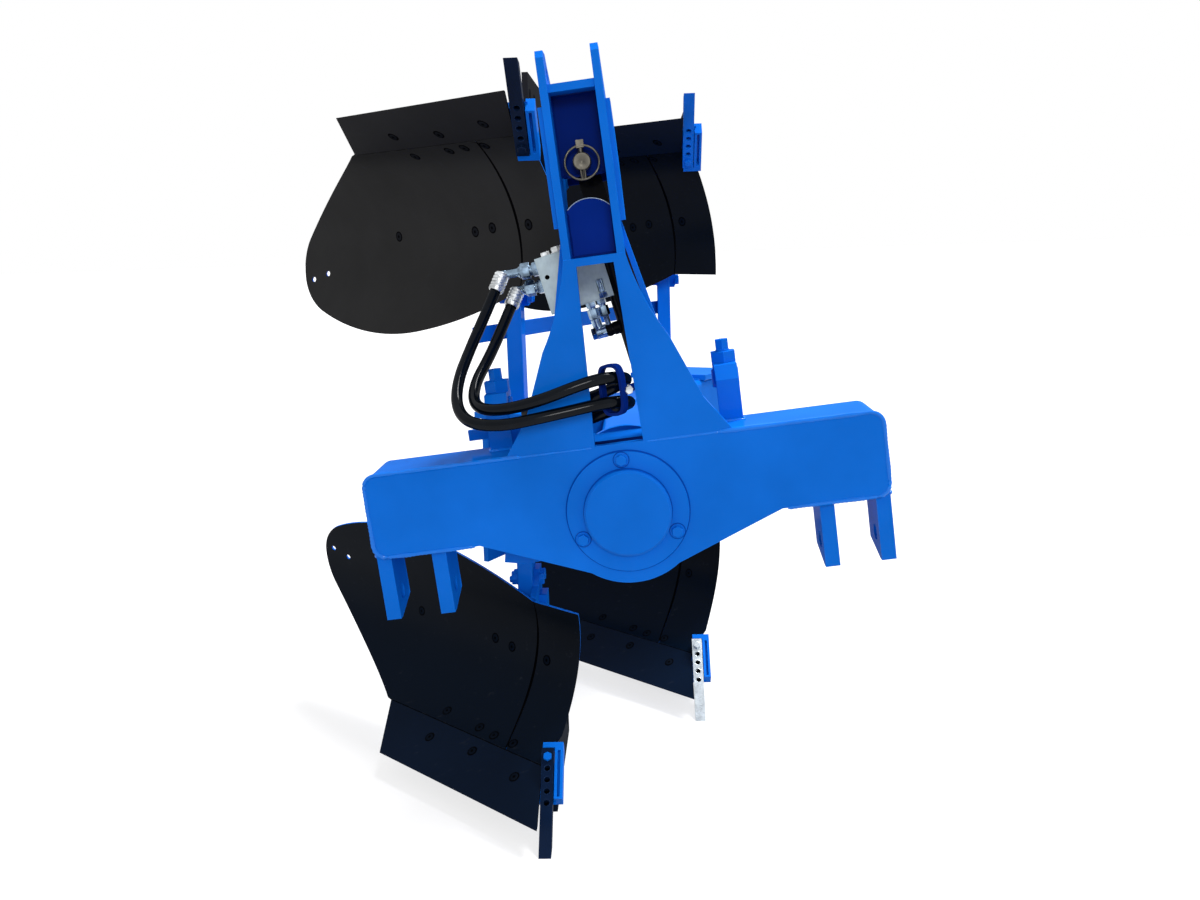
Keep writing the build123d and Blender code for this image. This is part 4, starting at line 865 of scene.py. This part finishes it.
bolts = bmesh.new()
welds = bmesh.new()
for row in ROWS:
    leg = leg_middle(row)
    for step in (-CLAMP_BOLTS[0], CLAMP_BOLTS[0]):
        for side in (-1, 1):
            at = leg + along * step + aside * CLAMP_BOLTS[1] + Z * (side * CLAMP_HALF)
            hexagon(bolts, at, Z * side, 0.030, 0.0125 if side > 0 else 0.016, 0.4 + step * 7, washer=0.0185)
            if side < 0:
                shank = [(0.0098, -0.16), (0.0098, 0.022), (0.0085, 0.0245), (0, 0.0245)]
                lathe(bolts, shank, at, -Z, 24)
    for side in (-1, 1):
        for edge in (-0.085, 0.085):
            at = leg - aside * BEAM_SIDE + along * edge + Z * (side * 0.06)
            bead(welds, [at - aside * 0.05, at + aside * 0.05], 0.004, edge + side)
        for edge in (-0.06, 0.06):
            spot = leg - aside * BEAM_SIDE + aside * edge + Z * (side * 0.061)
            bead(welds, [spot - along * 0.083, spot + along * 0.083], 0.0035, edge + side)
    # the frog's bolts go through its web and the leg
    low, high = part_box(f"leg_{row}")
    middle = (low.x + high.x) / 2
    for height in FROG_BOLTS:
        for z in (height, 2 * AXIS.z - height):
            for x in (middle + 0.021, middle - 0.021):
                if height == SINGLE_BOLT and x < middle:
                    continue
                hexagon(bolts, Vector((x, high.y + FROG_THICK, z)), Y, 0.024, 0.010, x * 9, washer=0.015)
                spot = Vector((x, low.y, z))
                hexagon(bolts, spot, -Y, 0.024, 0.013, z * 5, washer=0.015)
                lathe(bolts, [(0.0078, 0.0), (0.0078, 0.018), (0.0065, 0.0205), (0, 0.0205)], spot, -Y, 20)
low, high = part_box("hub_beam")
face = leg_middle("front") - aside * FAR_FACE


def meeting(y):
    """Where the hub beam meets the main beam's side, at a distance from the axis."""
    run = (AXIS.y + y - face.y) / along.y
    return Vector((face.x + along.x * run, AXIS.y + y, AXIS.z))


for side in (-1, 1):
    near = [Vector((high.x, AXIS.y + side * 0.061, AXIS.z + z)) for z in (-0.046, 0.046)]
    bead(welds, near, 0.0045, side)
    flat = [Vector((high.x, AXIS.y + y, AXIS.z + side * 0.061)) for y in (-0.046, 0.046)]
    bead(welds, flat, 0.0045, side + 4)
    bead(welds, [meeting(side * TUBE_SEAM) + Z * z for z in (-0.05, 0.05)], 0.005, side + 8)
for height in (-TUBE_SEAM, TUBE_SEAM):
    bead(welds, [meeting(side * 0.05) + Z * height for side in (-1, 1)], 0.0045, height)
piece("frame_bolts", bolts, PAINT, "frame")
# the beads are in the lighter weld blue, a painted highlight
piece("frame_welds", welds, WELD_HIGHLIGHT_BLUE, "frame", 50)

low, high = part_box("crank_pin_ends")
crank_pin = Vector((low.x, (low.y + high.y) / 2, (low.z + high.z) / 2))
bm = bmesh.new()
PIN_END = [(0, 0), (0.0148, 0), (0.0148, 0.0035), (0.0135, 0.005), (0.005, 0.005), (0.0035, 0.0035),
           (0, 0.0035)]
lathe(bm, PIN_END, crank_pin, -X, 36)
hexagon(bm, crank_pin - Z * 0.024, -X, 0.016, 0.0075, 0.2, washer=0.010)
piece("crank_pin_cap", bm, ZINC, "frame")

# ------------------------ plough bodies
JOIN = 1e-6  # vertices nearer than this are one
FROG_EDGE = 0.0099  # from the tip to where the holder passes the share's inner edge
FROG_SLIVER = (0.05, 0.2)  # heights over which the holder comes through there
FROG_COVER = 0.004  # what lies this far behind the working surface stays
FROG_LAP = (-0.060, 0.008)  # across the body, where the bolts also go through the frog
WEDGE = (0.0005, -0.0004)  # depths of the seam's wedge behind the working surface
PACKING = (0.0084, 0.0104)  # and those of the strip behind it
HOLE_RIM = [(0.0066, -0.0004), (0.0066, 0.0004), (0.0072, 0.0006), (0.0078, 0.0004), (0.0079, -0.0004)]
FLUSH_HEAD = [(0.0122, -0.001), (0.0120, 0.0008), (0.0104, 0.0010), (0.0098, 0.0003), (0.0040, 0.0004),
              (0.003, 0.0001), (0, 0.0001)]
UP_BAR = Vector((-math.cos(BAR_WAY), 0, math.sin(BAR_WAY)))
OUT_BAR = Vector((math.sin(BAR_WAY), 0, math.cos(BAR_WAY)))


def body_spot(row, side, y, z, behind=0.0):
    """Point on a body's working surface, or behind it, and the surface's forward normal."""
    point, way = on_face(y, z)
    return body_point(row, side, *(point - way * behind)), body_way(side, way)


def bar_spot(row, side, run):
    """Middle of a hole of the bar point, at a run up from its tip."""
    return body_point(row, side, *(Vector((0, BAR_Y, 0)) + UP_BAR * run))


def trim_frog(row, side):
    """Stand-in for a frog, without the sliver of its holder that shows beside the share's inner edge."""
    node = frame["nodes"][f"frog_{row}_{side}"]
    base = tip(row)
    bm = bmesh.new()
    bm.from_mesh(node.data)
    bm.transform(node.matrix_world)
    edge_y = base.y - FROG_EDGE
    bmesh.ops.remove_doubles(bm, verts=bm.verts, dist=JOIN)
    everything = list(bm.verts) + list(bm.edges) + list(bm.faces)
    bmesh.ops.bisect_plane(bm, geom=everything, plane_co=Vector((0, edge_y, 0)), plane_no=Y, dist=JOIN)
    gone = []
    for face in bm.faces:
        mid = face.calc_center_median()
        z = mid.z if side == "lower" else 2 * AXIS.z - mid.z
        local = Vector((mid.x - base.x, mid.y - base.y, z))
        point, way = on_face(local.y, local.z)
        shows = (local - point).dot(way) > -FROG_COVER
        if mid.y < edge_y and shows and FROG_SLIVER[0] < z < FROG_SLIVER[1]:
            gone.append(face)
    bmesh.ops.delete(bm, geom=gone, context="FACES")
    bmesh.ops.holes_fill(bm, edges=[edge for edge in bm.edges if edge.is_boundary])
    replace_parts(piece(f"frog_body_{row}_{side}", bm, PAINT, "frame"), f"frog_{row}_{side}")


def plough_bolts(row, side, dark, bolt_look):
    """Countersunk plough bolts with painted shade in the gap round each head and in its square-hole dimple, nuts
    behind.
    """
    heads = bmesh.new()
    nuts = bmesh.new()
    for number, (y, z) in enumerate(BOLTS):
        at, way = body_spot(row, side, y, z)
        lathe(heads, [(0.0096, -0.001), (0.0093, 0.001), (0.0086, 0.0013), (0, 0.0013)], at, way, 28)
        # painted shade: a black ring round the head and a black dot in its dimple
        lathe(dark, [(0.0092, 0.0), (0.0094, 0.0006), (0.0122, 0.0006), (0.0127, -0.0012)], at, way, 28)
        lathe(dark, [(0.0036, 0.0012), (0.0032, 0.0015), (0, 0.0014)], at, way, 12)
        thick = SHARE_THICK if z < SHARE_HEAD[1] else BOARD_THICK
        if FROG_LAP[0] < y < FROG_LAP[1]:
            thick += FROG_THICK
        at, way = body_spot(row, side, y, z, thick)
        hexagon(nuts, at, -way, 0.019, 0.011, number * 0.3, washer=0.012)
        lathe(nuts, [(0.0058, 0.0), (0.0058, 0.019), (0.0048, 0.0205), (0, 0.0205)], at, -way, 16)
    piece(f"plough_bolts_{row}_{side}", heads, bolt_look, "frame", 30)
    piece(f"plough_nuts_{row}_{side}", nuts, PAINT, "frame")


def strip(bm, row, side, sections):
    """A strip that follows a body's surface, through sections of (y, z, depth behind the surface)."""
    loft(bm, [[body_spot(row, side, *corner)[0] for corner in section] for section in sections])


def share_strip(bm, row, side, first, run, steps, half, depths):
    """A strip along the joint of share and mouldboard, between two depths behind the surface."""
    below, above = SHARE_HEAD[1] - half, SHARE_HEAD[1] + half
    front, back = depths
    sections = []
    for k in range(steps):
        y = first + run * k / (steps - 1)
        sections.append([(y, below, front), (y, above, front), (y, above, back), (y, below, back)])
    strip(bm, row, side, sections)


def board_seams(bm, row, side):
    """Painted shadow in the joints: a black wedge in the seam of mouldboard and shin, and black strips behind it
    and along the share's joint.
    """
    line = [(y, max(z, SHARE_HEAD[1] + 0.001)) for y, z in arc3(*SEAM, 40)]
    sections = []
    deep, proud = WEDGE
    for k, (y, z) in enumerate(line):
        left = y - (0.0010 + 0.0036 * math.sin(math.pi * k / (len(line) - 1)) ** 1.3)
        right = y + 0.0008
        sections.append([(left, z, deep), (left, z, proud), (right, z, proud), (right, z, deep)])
    strip(bm, row, side, sections)
    # the strip behind narrows and stops short of the board's top edge
    sections = []
    near, far = PACKING
    for k, (y, z) in enumerate(line[:-2]):
        half = 0.012 if k < 30 else 0.005
        sections.append([(y - half, z, near), (y + half, z, near), (y + half, z, far), (y - half, z, far)])
    strip(bm, row, side, sections)
    share_strip(bm, row, side, -0.383, 0.372, 16, 0.011, (0.0104, 0.0124))
    share_strip(bm, row, side, -0.384, 0.374, 30, 0.003, (0.0014, 0.0055))


def body_details(row, side):
    """Everything small on one plough body."""
    word = f"{row}_{side}"
    bolt_look = BOLT_BLACK if (row, side) == BLACK_BODY else BOLT_NAVY
    trim_frog(row, side)
    dark = bmesh.new()
    plough_bolts(row, side, dark, bolt_look)
    board_seams(dark, row, side)

    # raised rims round the bar point's holes, black discs in them as painted shade, and the bolt in the top one
    out = body_way(side, OUT_BAR)
    rims = bmesh.new()
    for run in BAR_HOLES:
        at = bar_spot(row, side, run)
        lathe(rims, HOLE_RIM, at, out, 24)
        lathe(dark, [(0, -0.0145), (0.0066, -0.0145), (0.0066, -0.0135), (0, -0.0135)], at, out, 16)
    piece(f"body_seam_shade_{word}", dark, SHADE_BLACK, "frame")
    bar_look = NODE_MATERIALS[f"bar_point_{word}"]
    bar_slot = "pin_steel" if bar_look == BRIGHT_STEEL else "bar_point"
    piece(f"bar_rims_{word}", rims, bar_look, "frame")
    held = bmesh.new()
    hexagon(held, bar_spot(row, side, BAR_HOLES[0]), out, 0.017, 0.007, 0.5)
    look, slot = (PAINT, "blue_paint") if word == "front_lower" else (bar_look, bar_slot)
    piece(f"bar_bolt_{word}", held, look, "frame")

    # flush bolts that hold the landside
    flush = bmesh.new()
    for x, z in ((-0.235, 0.040), (-0.335, 0.040), (-0.585, 0.052)):
        at = body_point(row, side, x, 0.018, z)
        lathe(flush, FLUSH_HEAD, at, Y, 28)
    piece(f"landside_bolts_{word}", flush, bolt_look, "frame", 30)


for row in ROWS:
    for side in SIDES:
        body_details(row, side)

# ------------------------ camera, lights and floor
CAMERA_AT = Vector((FRONT + 1.9916, AXIS.y + 0.03235, 1.2468))
YAW = -0.03845  # radians, as pitch and tilt are
PITCH = 0.179
TILT = -0.0325
LENS = 36.15  # mm, on a sensor 36 mm wide

forward = Vector((-math.cos(YAW) * math.cos(PITCH), math.sin(YAW) * math.cos(PITCH), -math.sin(PITCH)))
level = Vector((math.sin(YAW), math.cos(YAW), 0))
upward = level.cross(forward)
right = level * math.cos(TILT) + upward * math.sin(TILT)
up = upward * math.cos(TILT) - level * math.sin(TILT)
camera = add_object("camera", bpy.data.cameras.new("camera"))
camera.data.sensor_width = 36
camera.data.sensor_fit = "HORIZONTAL"
camera.data.lens = LENS
camera.data.clip_start = 0.05
camera.matrix_world = Matrix.Translation(CAMERA_AT) @ Matrix((right, up, -forward)).transposed().to_4x4()
bpy.context.scene.camera = camera


def sun(name, toward, power, spread):
    """A soft lamp at infinity, in a direction from the plough, as wide as its spread in degrees."""
    lamp = bpy.data.lights.new(name, "SUN")
    lamp.energy = power
    lamp.angle = math.radians(spread)
    add_object(name, lamp).rotation_euler = Vector(toward).to_track_quat("Z", "Y").to_euler()


sun("key", (-0.25, 0.4, 1.0), power=4.4, spread=25)
sun("front", (1.0, 0.1, 0.35), power=1.2, spread=16)


def background_rays(tree):
    """1 for the rays that show the background itself: straight, in a gloss or through something clear."""
    rays = tree.nodes.new("ShaderNodeLightPath")
    total = rays.outputs["Is Camera Ray"]
    for kind in ("Is Glossy Ray", "Is Transmission Ray"):
        either = tree.nodes.new("ShaderNodeMath")
        either.operation = "MAXIMUM"
        tree.links.new(total, either.inputs[0])
        tree.links.new(rays.outputs[kind], either.inputs[1])
        total = either.outputs[0]
    return total


def backdrop(tree, strength):
    """Plain white background of a given strength."""
    node = tree.nodes.new("ShaderNodeBackground")
    node.inputs["Color"].default_value = (1, 1, 1, 1)
    node.inputs["Strength"].default_value = strength
    return node.outputs[0]


WORLD_LIGHT = 0.65  # what the background lends the plough; itself it shows plain white
FLOOR_GREY = (0.35, 0.35, 0.353)
FLOOR_GLOW = 0.7  # lifts the floor to white where it is seen, and lights nothing
world = bpy.data.worlds.new("studio")
world.use_nodes = True
bpy.context.scene.world = world
tree = world.node_tree
tree.nodes.clear()
output = tree.nodes.new("ShaderNodeOutputWorld")
choose = tree.nodes.new("ShaderNodeMixShader")
tree.links.new(background_rays(tree), choose.inputs[0])
tree.links.new(backdrop(tree, WORLD_LIGHT), choose.inputs[1])
tree.links.new(backdrop(tree, 1.0), choose.inputs[2])
tree.links.new(choose.outputs[0], output.inputs[0])

bpy.ops.mesh.primitive_plane_add(size=120, location=(0, 0, 0))
floor = bpy.context.object
floor.name = "floor"
floor_mat, floor_tree, floor_shader, _ = material("floor_white", FLOOR_GREY, 0.95)
floor_shader.inputs["Specular IOR Level"].default_value = 0.1
floor_shader.inputs["Emission Color"].default_value = (1, 1, 1, 1)
floor_glow = ramp(floor_tree, background_rays(floor_tree), 0, 1, 0, FLOOR_GLOW)
floor_tree.links.new(floor_glow, floor_shader.inputs["Emission Strength"])
floor.data.materials.append(floor_mat)

scene = bpy.context.scene
scene.view_settings.view_transform = "Standard"

# ------------------------ update the scene
bpy.context.view_layer.update()
